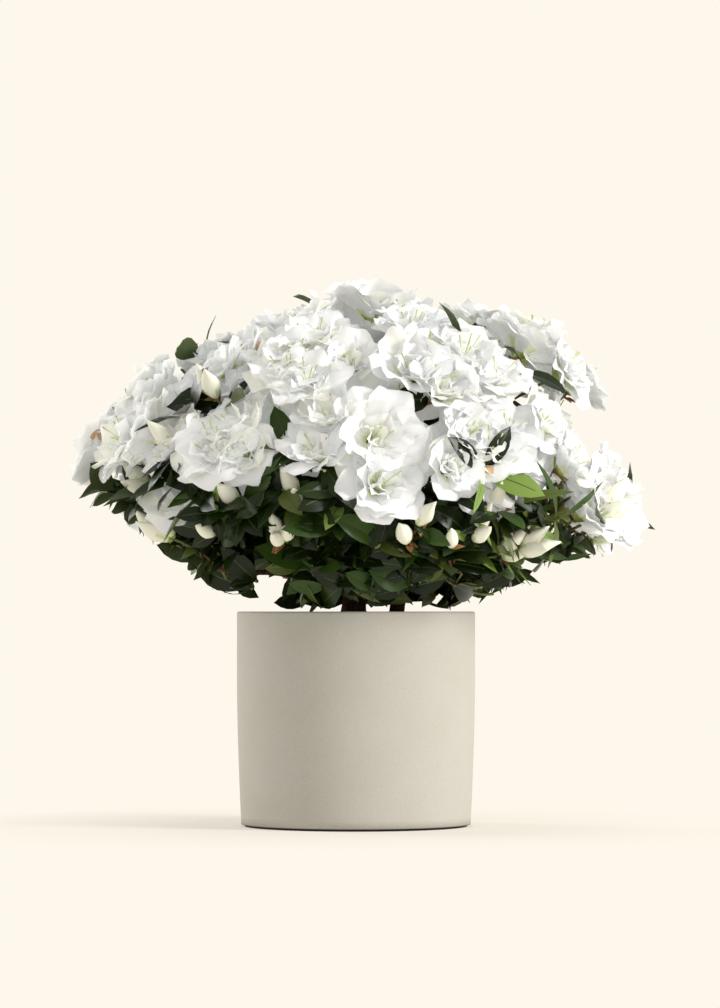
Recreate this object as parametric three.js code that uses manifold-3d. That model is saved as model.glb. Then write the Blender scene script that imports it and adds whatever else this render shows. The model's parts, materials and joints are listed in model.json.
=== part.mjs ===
// A double white azalea in a straight-sided stoneware pot, in millimetres, +Z up, standing on z = 0.
//
// The pot is filled with soil to just under its rim. A trunk and a thinner second stem stand on the soil
// and carry boughs, one to each mass of the crown. A mass is one stem whose twigs run out, by a seeded
// rule, to the mass's surface, where they end in double blooms, buds or sprigs of leaves. Each mass keeps
// to its own cell of the crown, so the masses are separate solids that never meet.

import * as THREE from "three";
import { mergeVertices } from "three/addons/utils/BufferGeometryUtils.js";
import Module from "manifold-3d";

const wasm = await Module();
wasm.setup();

// ---------------------------------------------------------------- driving dimensions

const GAP = 0.3; // clearance between neighbouring solids
const SEED = 16;
const SMOOTHING = 0.45; // how far fusing may move a face to spare slivers

const POT = {
  height: 160,
  rimRadius: 89,
  footDraw: 3.4, // how much narrower the wall is at the foot than at the rim
  straightFrom: 110, // height above which the wall is upright
  drawCurve: 1.6, // how quickly the wall draws in below that
  wall: 7,
  floor: 10,
  footInset: 2.6, // the standing face lies this far inside the wall
  footHeight: 1.6,
  lip: 1.5, // rounding of the rim
  sides: 32,
};

const SOIL = {
  below: 18, // level of the soil under the rim
  flatRadius: 48, // level part, which both stems stand on
  dip: 5, // fall from there to the pot's wall
  sag: 0.35, // share of that fall reached halfway out
};
const GROUND = POT.height - SOIL.below;
// The levels at which the wall's line is followed.
const WALL_LEVELS = [0.4, 1].map((share) => share * POT.straightFrom);

// Stems, measured from the middle of the soil's surface.
const TRUNK = {
  name: "trunk",
  foot: [-2, 2],
  head: [3, 7],
  height: 64,
  footRadius: 15.5,
  waistRadius: 10.4,
  headRadius: 6.4,
  flare: 0.26, // share of the height that the root flare takes
  sides: 10,
  steps: 8,
};
const SECOND_STEM = {
  name: "second_stem",
  foot: [29, -8],
  head: [41, -3],
  height: 58,
  footRadius: 8.4,
  waistRadius: 5.9,
  headRadius: 4.4,
  flare: 0.22,
  sides: 8,
  steps: 6,
};

// How both stems run: upright over the foot for a share of their height, and again under the head.
const STEM_LINE = { upright: 0.45, settled: 0.3 };

const BOUGH = {
  rootRadius: 3.7,
  tipRadius: 2.1,
  sides: 5,
  steps: 3,
  lowest: 0.5, // share of its stem's length at which a level bough leaves it
  swing: 0.35, // share of its length over which it turns, at either end
  sag: 0.04, // how far it hangs behind its root, as a share of its length
  lift: 0.05, // how far it arches before its tip
};
const STEM = { rootRadius: 2.1, tipRadius: 1.6, sides: 4, steps: 2 };
const TWIG = {
  rootRadius: 1.4,
  tipRadius: 1.1,
  sides: 3,
  lowest: 0.35, // shares of the mass's stem between which twigs leave it
  highest: 0.95,
  stray: 0.35, // how far a twig's end strays from the way out of the crown
  bend: 0.4, // share of its length over which it turns towards that way
  beyond: 2, // how far a twig stands past its last whorl
};

const BLOOM = {
  radius: 30,
  depth: 17,
  crown: 9, // height of the inner petals over the rim
  crownRadius: 0.42, // their spread, as a share of the radius
  twist: 0.3,
  hollow: 0.3, // share of the crown's height at which its middle lies
  lobes: 5,
  ruffle: 0.13,
};
const BUD = { radius: 7.5, length: 27, sides: 5, shoulder: 0.3, shoulderGirth: 0.8, widest: 0.62 };
const LEAF = {
  length: 44,
  width: 17,
  widest: 0.48, // share of its length at which a leaf is widest
  thickness: 2.2,
  droop: 0.1,
  fold: 0.12,
  lean: 0.1, // how far its lean may be off its whorl's
  least: 0.8, // shares of the length between which leaves vary
  most: 1.1,
  spine: [0.35, 0.6, 0.8, 1], // shares of its length at which it is kept clear of the limbs
};
// Share of a leaf's width and of a head's girth within which no limb may lie.
const CLEARANCE = { leaf: 0.45, head: 0.8 };

// Each kind of shoot. Its tip lies between shallow and deep under the crown's surface, strays from the way
// that its mass faces, and keeps a margin from the next mass and a distance apart from other tips. Each
// whorl, at its place along the twig, has slots for leaves that lean out from it.
const SHOOTS = {
  bloom: {
    ...{ shallow: 22, deep: 30, stray: 0.85, margin: 17, apart: 29 },
    ...{ slots: 5, leaves: 2, lean: 1.28, tiers: [0.93] },
  },
  bud: {
    ...{ shallow: 22, deep: 40, stray: 0.8, margin: 9, apart: 18 },
    ...{ slots: 5, leaves: 4, lean: 1.2, tiers: [0.93] },
  },
  sprig: {
    ...{ shallow: 10, deep: 80, stray: 0.8, margin: 9, apart: 13 },
    ...{ slots: 4, leaves: 4, lean: 1.0, tiers: [0.72, 0.96] },
  },
};
const HEAD_SCALES = [1, 0.88, 0.76, 0.64];
const LEAF_SCALES = [1, 0.8, 0.62];
const LEAST_LEAVES = 3; // a sprig with fewer is left out
const TRIES = 12; // places looked at for each shoot
const PATIENCE = 8; // shoots tried for each one wanted
const TANGLE = 3.6; // a shoot that costs more than this many times its own faces is left out
const UNDERSIDE = { lift: 2, slope: 0.55, lean: 0.13 };
const PROUD = { head: 7, leaf: 20 }; // how far each may stand out of the crown's surface

// The crown's masses, seen from a hub above the soil: bearing is the direction in degrees from +X towards
// +Y, rise the angle above level and reach how far the mass's surface lies from the hub. The last three
// are how many shoots end in a bloom, in a bud and in leaves.
const HUB_HEIGHT = 43;
const MASSES = [
  { name: "top", bearing: 60, rise: 84, reach: 214, bloom: 6, bud: 0, sprig: 3 },
  { name: "upper_left", bearing: 188, rise: 54, reach: 203, bloom: 6, bud: 0, sprig: 3 },
  { name: "upper_front", bearing: 254, rise: 55, reach: 198, bloom: 6, bud: 0, sprig: 4 },
  { name: "upper_middle", bearing: 306, rise: 56, reach: 206, bloom: 5, bud: 0, sprig: 3 },
  { name: "upper_right", bearing: 0, rise: 53, reach: 246, bloom: 6, bud: 0, sprig: 2 },
  { name: "upper_back", bearing: 105, rise: 54, reach: 206, bloom: 5, bud: 0, sprig: 1 },
  { name: "left", bearing: 184, rise: 36, reach: 234, bloom: 6, bud: 0, sprig: 3 },
  { name: "front_left", bearing: 226, rise: 26, reach: 206, bloom: 5, bud: 1, sprig: 5 },
  { name: "front", bearing: 262, rise: 25, reach: 198, bloom: 5, bud: 0, sprig: 5 },
  { name: "front_right", bearing: 312, rise: 26, reach: 208, bloom: 5, bud: 0, sprig: 4 },
  { name: "right", bearing: 354, rise: 8, reach: 213, bloom: 5, bud: 1, sprig: 4 },
  { name: "back_right", bearing: 42, rise: 28, reach: 212, bloom: 5, bud: 0, sprig: 2 },
  { name: "back", bearing: 90, rise: 23, reach: 198, bloom: 5, bud: 1, sprig: 3 },
  { name: "back_left", bearing: 137, rise: 27, reach: 212, bloom: 5, bud: 0, sprig: 2 },
  { name: "skirt_left", bearing: 208, rise: 3, reach: 160, bloom: 0, bud: 3, sprig: 8 },
  { name: "skirt_front", bearing: 254, rise: 1, reach: 154, bloom: 0, bud: 3, sprig: 8 },
  { name: "skirt_right", bearing: 306, rise: 2, reach: 172, bloom: 1, bud: 2, sprig: 10 },
  { name: "skirt_back_right", bearing: 62, rise: 1, reach: 166, bloom: 0, bud: 0, sprig: 8 },
  { name: "skirt_back_left", bearing: 118, rise: 1, reach: 166, bloom: 0, bud: 0, sprig: 8 },
];
const ENTERED = 0.48; // share of its reach at which a mass's bough ends and its own stem begins
const MIDDLE = 0.72; // share of its reach at which a mass has its middle, which its stem runs to
const EVENNESS = 14; // how sharply the crown's surface turns from one mass's reach to the next

const COLOURS = {
  pot: [0xc9c3b5, 0.85],
  soil: [0x3a2f26, 1.0],
  bark: [0x4f3a2b, 0.9],
  blossom: [0xf3f2ea, 0.6],
  leaves: [0x2f4a24, 0.45],
};

// ---------------------------------------------------------------- chance

// A small Lehmer generator: the same seed gives the same plant.
function stream(seed) {
  let state = 1 + ((seed * 7919) % 2147483646);
  return (low, high) => {
    state = (state * 48271) % 2147483647;
    return low + ((high - low) * state) / 2147483647;
  };
}

// A direction spread evenly over the sphere.
function anyDirection(random) {
  const height = random(-1, 1);
  const turn = random(0, 2 * Math.PI);
  const across = Math.sqrt(1 - height * height);
  return new THREE.Vector3(across * Math.cos(turn), across * Math.sin(turn), height);
}

// ---------------------------------------------------------------- solids

function solidOf(geometry) {
  geometry.deleteAttribute("normal");
  geometry.deleteAttribute("uv");
  const merged = mergeVertices(geometry, 1e-4);
  const index = merged.index.array;
  const kept = [];
  for (let i = 0; i < index.length; i += 3) {
    const [a, b, c] = index.slice(i, i + 3);
    if (a !== b && b !== c && c !== a) kept.push(a, b, c);
  }
  const mesh = new wasm.Mesh({
    numProp: 3,
    vertProperties: new Float32Array(merged.attributes.position.array),
    triVerts: new Uint32Array(kept),
  });
  return new wasm.Manifold(mesh);
}

// True where every edge still joins exactly two faces once points closer than a micrometre are one.
function isClean(solid) {
  const geometry = geometryOf(solid);
  geometry.deleteAttribute("normal");
  const index = mergeVertices(geometry, 1e-3).index.array;
  const edges = new Map();
  for (let i = 0; i < index.length; i += 3) {
    for (let k = 0; k < 3; k += 1) {
      const ends = [index[i + k], index[i + ((k + 1) % 3)]];
      if (ends[0] === ends[1]) return false;
      const edge = ends.sort((a, b) => a - b).join(" ");
      edges.set(edge, (edges.get(edge) ?? 0) + 1);
    }
  }
  return [...edges.values()].every((faces) => faces === 2);
}

function geometryOf(solid) {
  const mesh = solid.getMesh();
  const geometry = new THREE.BufferGeometry();
  geometry.setAttribute("position", new THREE.BufferAttribute(mesh.vertProperties, 3));
  geometry.setIndex(new THREE.BufferAttribute(mesh.triVerts, 1));
  geometry.computeVertexNormals();
  return geometry;
}

// The largest body of a solid, without loose scraps and with any sealed hollow filled.
function largestBody(solid) {
  const bodies = solid.decompose();
  return bodies.reduce((best, body) => (body.volume() > best.volume() ? body : best));
}

// A skin over rings that all have as many points: a lathe's surface, moved ring by ring to its place.
// Points of a ring may coincide, and the first and last ring are each pinched to one point, which
// closes the skin.
function skin(rings) {
  const around = rings[0].length;
  const profile = rings.map((_, level) => new THREE.Vector2(1, level));
  const geometry = new THREE.LatheGeometry(profile, around);
  const position = geometry.attributes.position;
  for (let i = 0; i <= around; i += 1) {
    rings.forEach((ring, level) => {
      const point = ring[i % around];
      position.setXYZ(i * rings.length + level, point.x, point.y, point.z);
    });
  }
  return geometry;
}

// Upright frames along a curve: its middle, the way along it and two ways across, none of them twisted.
function framesAlong(curve, stations) {
  const start = curve.getTangent(stations[0]);
  let across = Math.abs(start.x) > 0.8 ? new THREE.Vector3(0, 1, 0) : new THREE.Vector3(1, 0, 0);
  return stations.map((t) => {
    const along = curve.getTangent(t);
    across = across.clone().addScaledVector(along, -across.dot(along)).normalize();
    const up = new THREE.Vector3().crossVectors(along, across);
    return { middle: curve.getPoint(t), along, across, up };
  });
}

// The way out from a frame's middle at a turn round it.
function wayOut(frame, turn) {
  const way = frame.across.clone().multiplyScalar(Math.cos(turn));
  return way.addScaledVector(frame.up, Math.sin(turn));
}

function atTurn(frame, turn, radius, lift) {
  const foot = frame.middle.clone().addScaledVector(frame.along, lift);
  return foot.addScaledVector(wayOut(frame, turn), radius);
}

// A ring of count points round a frame, spread over slots places, so neighbouring places may share a point.
function ring(frame, slots, count, radius, start = 0, lift = 0) {
  return Array.from({ length: slots }, (_, i) => {
    const place = Math.floor(((i + 1) * count) / slots) % count;
    return atTurn(frame, start + (2 * Math.PI * place) / count, radius, lift);
  });
}

function pinched(frame, slots, lift = 0) {
  return ring(frame, slots, 1, 0, 0, lift);
}

// A round limb along a curve, with radiusAt(t) for its girth and flat ends.
function limb(curve, radiusAt, sides, steps) {
  const stations = Array.from({ length: steps + 1 }, (_, i) => i / steps);
  const frames = framesAlong(curve, stations);
  const rings = frames.map((frame, i) => ring(frame, sides, sides, radiusAt(stations[i])));
  return skin([pinched(frames[0], sides), ...rings, pinched(frames[steps], sides)]);
}

function taper(size) {
  return (t) => size.rootRadius + (size.tipRadius - size.rootRadius) * t;
}

// ---------------------------------------------------------------- pot and soil

function wallRadius(height) {
  const below = Math.max(0, 1 - height / POT.straightFrom);
  return POT.rimRadius - POT.footDraw * below ** POT.drawCurve;
}

function turned(profile) {
  const points = profile.map(([radius, level]) => new THREE.Vector2(radius, level));
  return geometryOf(solidOf(new THREE.LatheGeometry(points, POT.sides).rotateX(Math.PI / 2)));
}

function pot() {
  const { height, wall, lip } = POT;
  const rim = POT.rimRadius;
  const foot = wallRadius(0) - POT.footInset;
  return turned([
    [0, 0],
    [foot, 0],
    [foot, POT.footHeight],
    ...[POT.footHeight, ...WALL_LEVELS].map((level) => [wallRadius(level), level]),
    [rim, height - lip],
    [rim - lip, height],
    [rim - wall + lip, height],
    [rim - wall, height - lip],
    ...[POT.floor, ...WALL_LEVELS].map((level) => [wallRadius(level) - wall, level]).reverse(),
    [0, POT.floor],
  ]);
}

function soil() {
  const inner = POT.rimRadius - POT.wall - GAP;
  return turned([
    [0, POT.floor + GAP],
    ...[POT.floor + GAP, ...WALL_LEVELS].map((level) => [wallRadius(level) - POT.wall - GAP, level]),
    [inner, GROUND - SOIL.dip],
    [(inner + SOIL.flatRadius) / 2, GROUND - SOIL.dip * SOIL.sag],
    [SOIL.flatRadius, GROUND],
    [0, GROUND],
  ]);
}

// ---------------------------------------------------------------- stems and boughs

// The way that lies at a bearing from +X towards +Y and at a rise above level, both in degrees.
function direction(bearing, rise) {
  const turn = THREE.MathUtils.degToRad(bearing);
  const tilt = THREE.MathUtils.degToRad(rise);
  const across = Math.cos(tilt);
  return new THREE.Vector3(across * Math.cos(turn), across * Math.sin(turn), Math.sin(tilt));
}

// A stem rises straight from its flat foot and leans over towards its head.
function stemCurve(stem) {
  const foot = new THREE.Vector3(...stem.foot, GROUND + GAP);
  const head = new THREE.Vector3(...stem.head, GROUND + stem.height);
  const overFoot = foot.clone().setZ(foot.z + stem.height * STEM_LINE.upright);
  const underHead = head.clone().lerp(foot, STEM_LINE.settled);
  underHead.setZ(head.z - stem.height * STEM_LINE.settled);
  return new THREE.CubicBezierCurve3(foot, overFoot, underHead, head);
}

function stemRadius(stem) {
  return (t) => {
    const flare = Math.max(0, 1 - t / stem.flare);
    const shaft = stem.waistRadius + (stem.headRadius - stem.waistRadius) * t;
    return shaft + (stem.footRadius - stem.waistRadius) * flare * flare;
  };
}

// A bough leaves the nearer stem, the higher the steeper it runs, and ends where it enters its mass.
function boughCurve(mass, plan) {
  const gap = ({ size }) => Math.hypot(size.head[0] - mass.middle.x, size.head[1] - mass.middle.y);
  const near = plan.stems.reduce((best, stem) => (gap(stem) < gap(best) ? stem : best));
  const root = near.curve.getPoint(BOUGH.lowest + (1 - BOUGH.lowest) * Math.max(0, mass.outward.z));
  const tip = plan.hub.clone().addScaledVector(mass.outward, ENTERED * mass.reach);
  const outward = tip.clone().sub(root).normalize();
  const length = tip.distanceTo(root);
  const leaving = root.clone().addScaledVector(outward, length * BOUGH.swing);
  leaving.z -= length * BOUGH.sag;
  const arriving = tip.clone().addScaledVector(outward, -length * BOUGH.swing);
  arriving.z += length * BOUGH.lift;
  return new THREE.CubicBezierCurve3(root, leaving, arriving, tip);
}

// A mass's own stem carries on from its bough's tip to the mass's middle.
function heartCurve(bough, mass) {
  const along = bough.getTangent(1);
  const root = bough.getPoint(1).addScaledVector(along, GAP);
  const bend = root.clone().addScaledVector(along, root.distanceTo(mass.middle) / 2);
  return new THREE.QuadraticBezierCurve3(root, bend, mass.middle);
}

function samples(curve, radiusAt, count) {
  return Array.from({ length: count + 1 }, (_, i) => {
    return { point: curve.getPoint(i / count), radius: radiusAt(i / count) };
  });
}

// ---------------------------------------------------------------- the space that a mass keeps to

// How far from the hub the crown's surface lies in a direction: the reach of the masses that face that way.
function surface(way, masses) {
  let [sum, weights] = [0, 0];
  for (const mass of masses) {
    const weight = Math.exp(EVENNESS * (way.dot(mass.outward) - 1));
    sum += weight * mass.reach;
    weights += weight;
  }
  return sum / weights;
}

// True on a mass's own side of the planes halfway between its middle and the others, and off them by a
// margin.
function isInCell(point, margin, mass, masses) {
  return masses.every((other) => {
    if (other === mass) return true;
    const nearer = point.distanceToSquared(other.middle) - point.distanceToSquared(mass.middle);
    return nearer / (2 * mass.middle.distanceTo(other.middle)) > margin;
  });
}

// The crown's underside clears the pot's rim and rises outwards from it, less steeply towards +X.
function isAboveUnderside(point, margin) {
  const across = Math.hypot(point.x, point.y);
  const slope = UNDERSIDE.slope - (UNDERSIDE.lean * point.x) / Math.max(across, 1);
  const level = POT.height + UNDERSIDE.lift + slope * Math.max(0, across - POT.rimRadius);
  return point.z > level + margin;
}

function isInside(points, proud, mass, plan) {
  return points.every((point) => {
    const out = point.clone().sub(plan.hub);
    const within = out.length() < surface(out.clone().normalize(), plan.masses) + proud;
    return within && isAboveUnderside(point, 0) && isInCell(point, GAP, mass, plan.masses);
  });
}

function isClear(spine, girth, plan) {
  return spine.every((point) =>
    plan.limbPoints.every((one) => point.distanceTo(one.point) > girth + one.radius + GAP),
  );
}

// ---------------------------------------------------------------- shoots

// Leaves are laid round a frame between slots. A leaf is its two edges and its tip, or null where even a
// short one would leave the mass's space or touch a limb.
function whorl(random, frame, kind, start, mass, plan) {
  return Array.from({ length: kind.slots }, (_, k) => {
    const lean = random(kind.lean - LEAF.lean, kind.lean + LEAF.lean);
    const size = random(LEAF.least, LEAF.most);
    const wanted = random(0, 1) < kind.leaves / kind.slots;
    if (!wanted) return null;
    const side = wayOut(frame, start + (2 * Math.PI * (k + 0.5)) / kind.slots);
    const heading = side.clone().multiplyScalar(Math.sin(lean));
    heading.addScaledVector(frame.along, Math.cos(lean));
    const across = new THREE.Vector3().crossVectors(frame.along, side);
    for (const scale of LEAF_SCALES) {
      const [length, width] = [LEAF.length * size * scale, LEAF.width * size * scale];
      const middle = frame.middle.clone().addScaledVector(heading, length * LEAF.widest);
      middle.addScaledVector(frame.along, LEAF.fold * width);
      const tip = frame.middle.clone().addScaledVector(heading, length);
      tip.z -= LEAF.droop * length;
      const left = middle.clone().addScaledVector(across, -width / 2);
      const right = middle.clone().addScaledVector(across, width / 2);
      const spine = LEAF.spine.map((share) => frame.middle.clone().lerp(tip, share));
      const girth = width * CLEARANCE.leaf;
      if (isInside([left, right, tip], PROUD.leaf, mass, plan) && isClear(spine, girth, plan)) {
        return { left, tip, right };
      }
    }
    return null;
  });
}

// The rings of one whorl: its foot, the leaves' outline and its top, which are its leaves' two faces.
function whorlRings(frame, leaves, start, radius) {
  const count = leaves.length;
  const outline = leaves.flatMap((leaf, k) => {
    const notch = atTurn(frame, start + (2 * Math.PI * k) / count, radius, 0);
    return leaf ? [notch, leaf.left, leaf.tip, leaf.right] : [notch, notch, notch, notch];
  });
  const foot = ring(frame, 4 * count, count, radius, start);
  const top = ring(frame, 4 * count, count, radius, start, LEAF.thickness);
  return [foot, outline, top];
}

// A double bloom: a funnel with a ruffled rim and a crown of inner petals.
function bloomRings(frame, slots, turn, scale) {
  const rim = BLOOM.radius * scale;
  const depth = BLOOM.depth * scale;
  const crown = BLOOM.crown * scale;
  const edge = Array.from({ length: slots }, (_, i) => {
    const place = Math.floor(((i + 1) * 2 * BLOOM.lobes) / slots);
    const wave = place % 2 ? -BLOOM.ruffle : BLOOM.ruffle;
    return atTurn(frame, turn + (Math.PI * place) / BLOOM.lobes, rim * (1 + wave / 2), depth + rim * wave);
  });
  return [
    edge,
    ring(frame, slots, BLOOM.lobes, rim * BLOOM.crownRadius, turn + BLOOM.twist, depth + crown),
    pinched(frame, slots, depth + crown * BLOOM.hollow),
  ];
}

// A closed bud, egg-shaped and pointed.
function budRings(frame, slots, turn, scale) {
  const [radius, length] = [BUD.radius * scale, BUD.length * scale];
  return [
    ring(frame, slots, BUD.sides, radius * BUD.shoulderGirth, turn, length * BUD.shoulder),
    ring(frame, slots, BUD.sides, radius, turn, length * BUD.widest),
    pinched(frame, slots, length),
  ];
}

// One shoot: a twig from the mass's stem to its tip, with its whorls of leaves and its head.
function shoot(random, kind, tip, mass, plan) {
  const size = SHOOTS[kind];
  const heading = tip.way.clone().addScaledVector(anyDirection(random), TWIG.stray).normalize();
  const root = mass.heart.getPoint(random(TWIG.lowest, TWIG.highest));
  const turn = random(0, 2 * Math.PI);
  const bend = tip.point.clone().addScaledVector(heading, -TWIG.bend * tip.point.distanceTo(root));
  const curve = new THREE.QuadraticBezierCurve3(root, bend, tip.point);
  const stations = [0, 0.5, ...size.tiers, 1];
  const frames = framesAlong(curve, stations);
  const end = frames[frames.length - 1];
  const whorls = size.tiers.map((_, i) => {
    const start = turn + (i * Math.PI) / size.slots;
    return { start, frame: frames[2 + i], leaves: whorl(random, frames[2 + i], size, start, mass, plan) };
  });
  const count = whorls.flatMap((one) => one.leaves).filter(Boolean).length;
  const twig = samples(curve, () => 0, 6).map((one) => one.point);
  if (!isInside(twig, 0, mass, plan) || !isClear(twig, TWIG.rootRadius, plan)) return null;
  if (kind === "sprig" && count < LEAST_LEAVES) return null;
  const slots = 4 * size.slots;
  let head = [pinched(end, slots, TWIG.beyond)];
  if (kind !== "sprig") {
    const [rings, girth] = kind === "bloom" ? [bloomRings, BLOOM.radius] : [budRings, BUD.radius];
    const fitting = HEAD_SCALES.find((scale) => {
      const middle = end.middle.clone().addScaledVector(end.along, BLOOM.depth * scale);
      const points = rings(end, slots, turn, scale).flat();
      const round = girth * scale * CLEARANCE.head;
      return isInside(points, PROUD.head, mass, plan) && isClear([end.middle, middle], round, plan);
    });
    if (!fitting) return null;
    head = rings(end, slots, turn, fitting);
  }
  const stalk = [TWIG.rootRadius, (TWIG.rootRadius + TWIG.tipRadius) / 2].map((radius, i) => {
    return ring(frames[i], slots, TWIG.sides, radius, turn);
  });
  const leafy = whorls.flatMap(({ frame, leaves, start }) => {
    return whorlRings(frame, leaves, start, TWIG.tipRadius);
  });
  return skin([pinched(frames[0], slots), ...stalk, ...leafy, ...head]);
}

// ---------------------------------------------------------------- masses

// A place for a shoot's tip: of several tries, the one that lies farthest from the tips already there.
function nextTip(random, size, mass, plan) {
  let best = null;
  for (let tries = 0; tries < TRIES; tries += 1) {
    const way = mass.outward.clone().addScaledVector(anyDirection(random), size.stray).normalize();
    const depth = random(size.shallow, size.deep);
    const point = plan.hub.clone().addScaledVector(way, surface(way, plan.masses) - depth);
    const isHere = isInCell(point, size.margin, mass, plan.masses) && isAboveUnderside(point, size.margin);
    if (!isHere) continue;
    const gap = Math.min(...plan.tips.map((one) => one.distanceTo(point)));
    if (gap > (best?.gap ?? size.apart)) best = { point, way, gap };
  }
  return best;
}

// A mass is its stem with the shoots that fit its space. A shoot is left out where it would spoil the
// solid, and so is the scrap or sealed hollow that fusing leaves.
function foliage(mass, plan) {
  const random = stream(SEED + mass.index);
  let whole = solidOf(limb(mass.heart, taper(STEM), STEM.sides, STEM.steps));
  let tidy = whole;
  for (const kind of Object.keys(SHOOTS)) {
    let made = 0;
    for (let tries = 0; tries < PATIENCE * mass[kind] && made < mass[kind]; tries += 1) {
      const tip = nextTip(random, SHOOTS[kind], mass, plan);
      const skinned = tip && shoot(random, kind, tip, mass, plan);
      if (!skinned) continue;
      plan.tips.push(tip.point);
      made += 1;
      const shape = solidOf(skinned);
      const wider = largestBody(whole.add(shape));
      const tidier = wider.asOriginal().simplify(SMOOTHING);
      const isTangled = wider.numTri() - whole.numTri() > TANGLE * shape.numTri();
      if (!isTangled && isClean(tidier)) [whole, tidy] = [wider, tidier];
    }
  }
  return tidy;
}

// ---------------------------------------------------------------- the whole plant

function plant() {
  const hub = new THREE.Vector3(0, 0, GROUND + HUB_HEIGHT);
  const stems = [TRUNK, SECOND_STEM].map((size) => ({ size, curve: stemCurve(size) }));
  const masses = MASSES.map((size, index) => {
    const outward = direction(size.bearing, size.rise);
    return { ...size, index, outward, middle: hub.clone().addScaledVector(outward, MIDDLE * size.reach) };
  });
  const plan = { hub, stems, masses, limbPoints: [], tips: [] };
  const nodes = [];
  const swollen = [];
  for (const { size, curve } of stems) {
    const radius = stemRadius(size);
    const solid = solidOf(limb(curve, radius, size.sides, size.steps));
    nodes.push({ name: size.name, solid, look: COLOURS.bark });
    swollen.push(solidOf(limb(curve, (t) => radius(t) + GAP, size.sides, size.steps)));
    plan.limbPoints.push(...samples(curve, radius, 12));
  }
  const radius = taper(BOUGH);
  for (const mass of masses) {
    const curve = boughCurve(mass, plan);
    const taken = wasm.Manifold.union(swollen);
    const solid = largestBody(solidOf(limb(curve, radius, BOUGH.sides, BOUGH.steps)).subtract(taken));
    nodes.push({ name: `bough_${mass.name}`, solid, look: COLOURS.bark });
    swollen.push(solidOf(limb(curve, (t) => radius(t) + GAP, BOUGH.sides, BOUGH.steps)));
    plan.limbPoints.push(...samples(curve, radius, 24));
    mass.heart = heartCurve(curve, mass);
  }
  for (const mass of masses) {
    const look = mass.bloom > mass.bud ? COLOURS.blossom : COLOURS.leaves;
    nodes.push({ name: `foliage_${mass.name}`, solid: foliage(mass, plan), look });
  }
  return nodes.map(({ name, solid, look }) => ({ name, geometry: geometryOf(solid), look }));
}

const azalea = new THREE.Group();
const vessel = [
  { name: "pot", geometry: pot(), look: COLOURS.pot },
  { name: "soil", geometry: soil(), look: COLOURS.soil },
];
for (const { name, geometry, look } of [...vessel, ...plant()]) {
  const [colour, roughness] = look;
  const material = new THREE.MeshStandardMaterial({ color: colour, roughness, metalness: 0 });
  const mesh = new THREE.Mesh(geometry, material);
  mesh.name = name;
  azalea.add(mesh);
}

export default azalea;
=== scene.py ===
"""Looks of a double white azalea in a straight-sided stoneware pot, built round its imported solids.

The stems, boughs and twigs grow by the same seeded rule as the solids, so each shoot stands where its
solid does, and then carry finer shoots of their own within the same reach. All growth is worked out in
millimetres and turned to metres where a mesh is made.
"""

import json
import logging
import math
from dataclasses import dataclass, field
from enum import Enum, IntEnum
from typing import Callable, Iterable, Sequence

import bmesh
import bpy
import numpy as np
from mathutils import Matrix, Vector, noise

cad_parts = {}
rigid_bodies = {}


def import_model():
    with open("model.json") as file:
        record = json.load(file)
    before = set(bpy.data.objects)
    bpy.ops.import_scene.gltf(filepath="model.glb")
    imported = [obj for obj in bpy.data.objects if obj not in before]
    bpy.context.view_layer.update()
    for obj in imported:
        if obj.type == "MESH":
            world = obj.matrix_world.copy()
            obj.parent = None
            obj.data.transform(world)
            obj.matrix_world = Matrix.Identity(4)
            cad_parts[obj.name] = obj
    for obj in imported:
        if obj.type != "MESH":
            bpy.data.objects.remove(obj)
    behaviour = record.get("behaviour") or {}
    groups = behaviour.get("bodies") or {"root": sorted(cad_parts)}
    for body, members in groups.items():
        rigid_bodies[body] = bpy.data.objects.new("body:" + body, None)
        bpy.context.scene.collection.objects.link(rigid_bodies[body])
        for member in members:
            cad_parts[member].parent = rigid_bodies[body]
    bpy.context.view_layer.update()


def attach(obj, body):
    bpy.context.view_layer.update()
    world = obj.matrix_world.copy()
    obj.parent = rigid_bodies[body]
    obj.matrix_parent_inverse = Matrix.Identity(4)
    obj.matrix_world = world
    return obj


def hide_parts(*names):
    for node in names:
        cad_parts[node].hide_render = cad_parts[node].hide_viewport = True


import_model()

LOG = logging.getLogger("azalea")
MM = 0.001
GAP = 0.3
SEED = 16
TAU = 2 * math.pi
Array = np.ndarray
Colour = tuple[float, float, float]
Section = Sequence[tuple[float, float]]
Stops = Sequence[tuple[float, Colour]]


# ---------------------------------------------------------------- chance


class Chance:
    """A small Lehmer generator: the same seed gives the same plant."""

    MODULUS = 2147483647
    MULTIPLIER = 48271
    STRIDE = 7919

    def __init__(self, seed: int) -> None:
        """Starts the stream of a seed."""
        self.state = 1 + (seed * self.STRIDE) % (self.MODULUS - 1)

    def between(self, low: float, high: float) -> float:
        """A number spread evenly between low and high."""
        self.state = (self.state * self.MULTIPLIER) % self.MODULUS
        return low + (high - low) * self.state / self.MODULUS

    def direction(self) -> Array:
        """A direction spread evenly over the sphere."""
        height = self.between(-1, 1)
        turn = self.between(0, TAU)
        across = math.sqrt(1 - height * height)
        return np.array([across * math.cos(turn), across * math.sin(turn), height])


def unit(vectors: Array) -> Array:
    """The same directions with a length of one."""
    return vectors / np.maximum(np.linalg.norm(vectors, axis=-1, keepdims=True), 1e-12)


# ---------------------------------------------------------------- sizes, in millimetres


@dataclass(frozen=True)
class PotSize:
    """The pot's wall, floor, foot and rim."""

    height: float = 160
    rim_radius: float = 89
    foot_draw: float = 3.4
    straight_from: float = 110
    draw_curve: float = 1.6
    wall: float = 7
    floor: float = 10
    foot_inset: float = 2.6
    foot_height: float = 1.6
    lip: float = 1.5

    def wall_radius(self, level: float) -> float:
        """The outer radius at a level above the foot."""
        below = max(0.0, 1 - level / self.straight_from)
        return self.rim_radius - self.foot_draw * below**self.draw_curve


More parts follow.
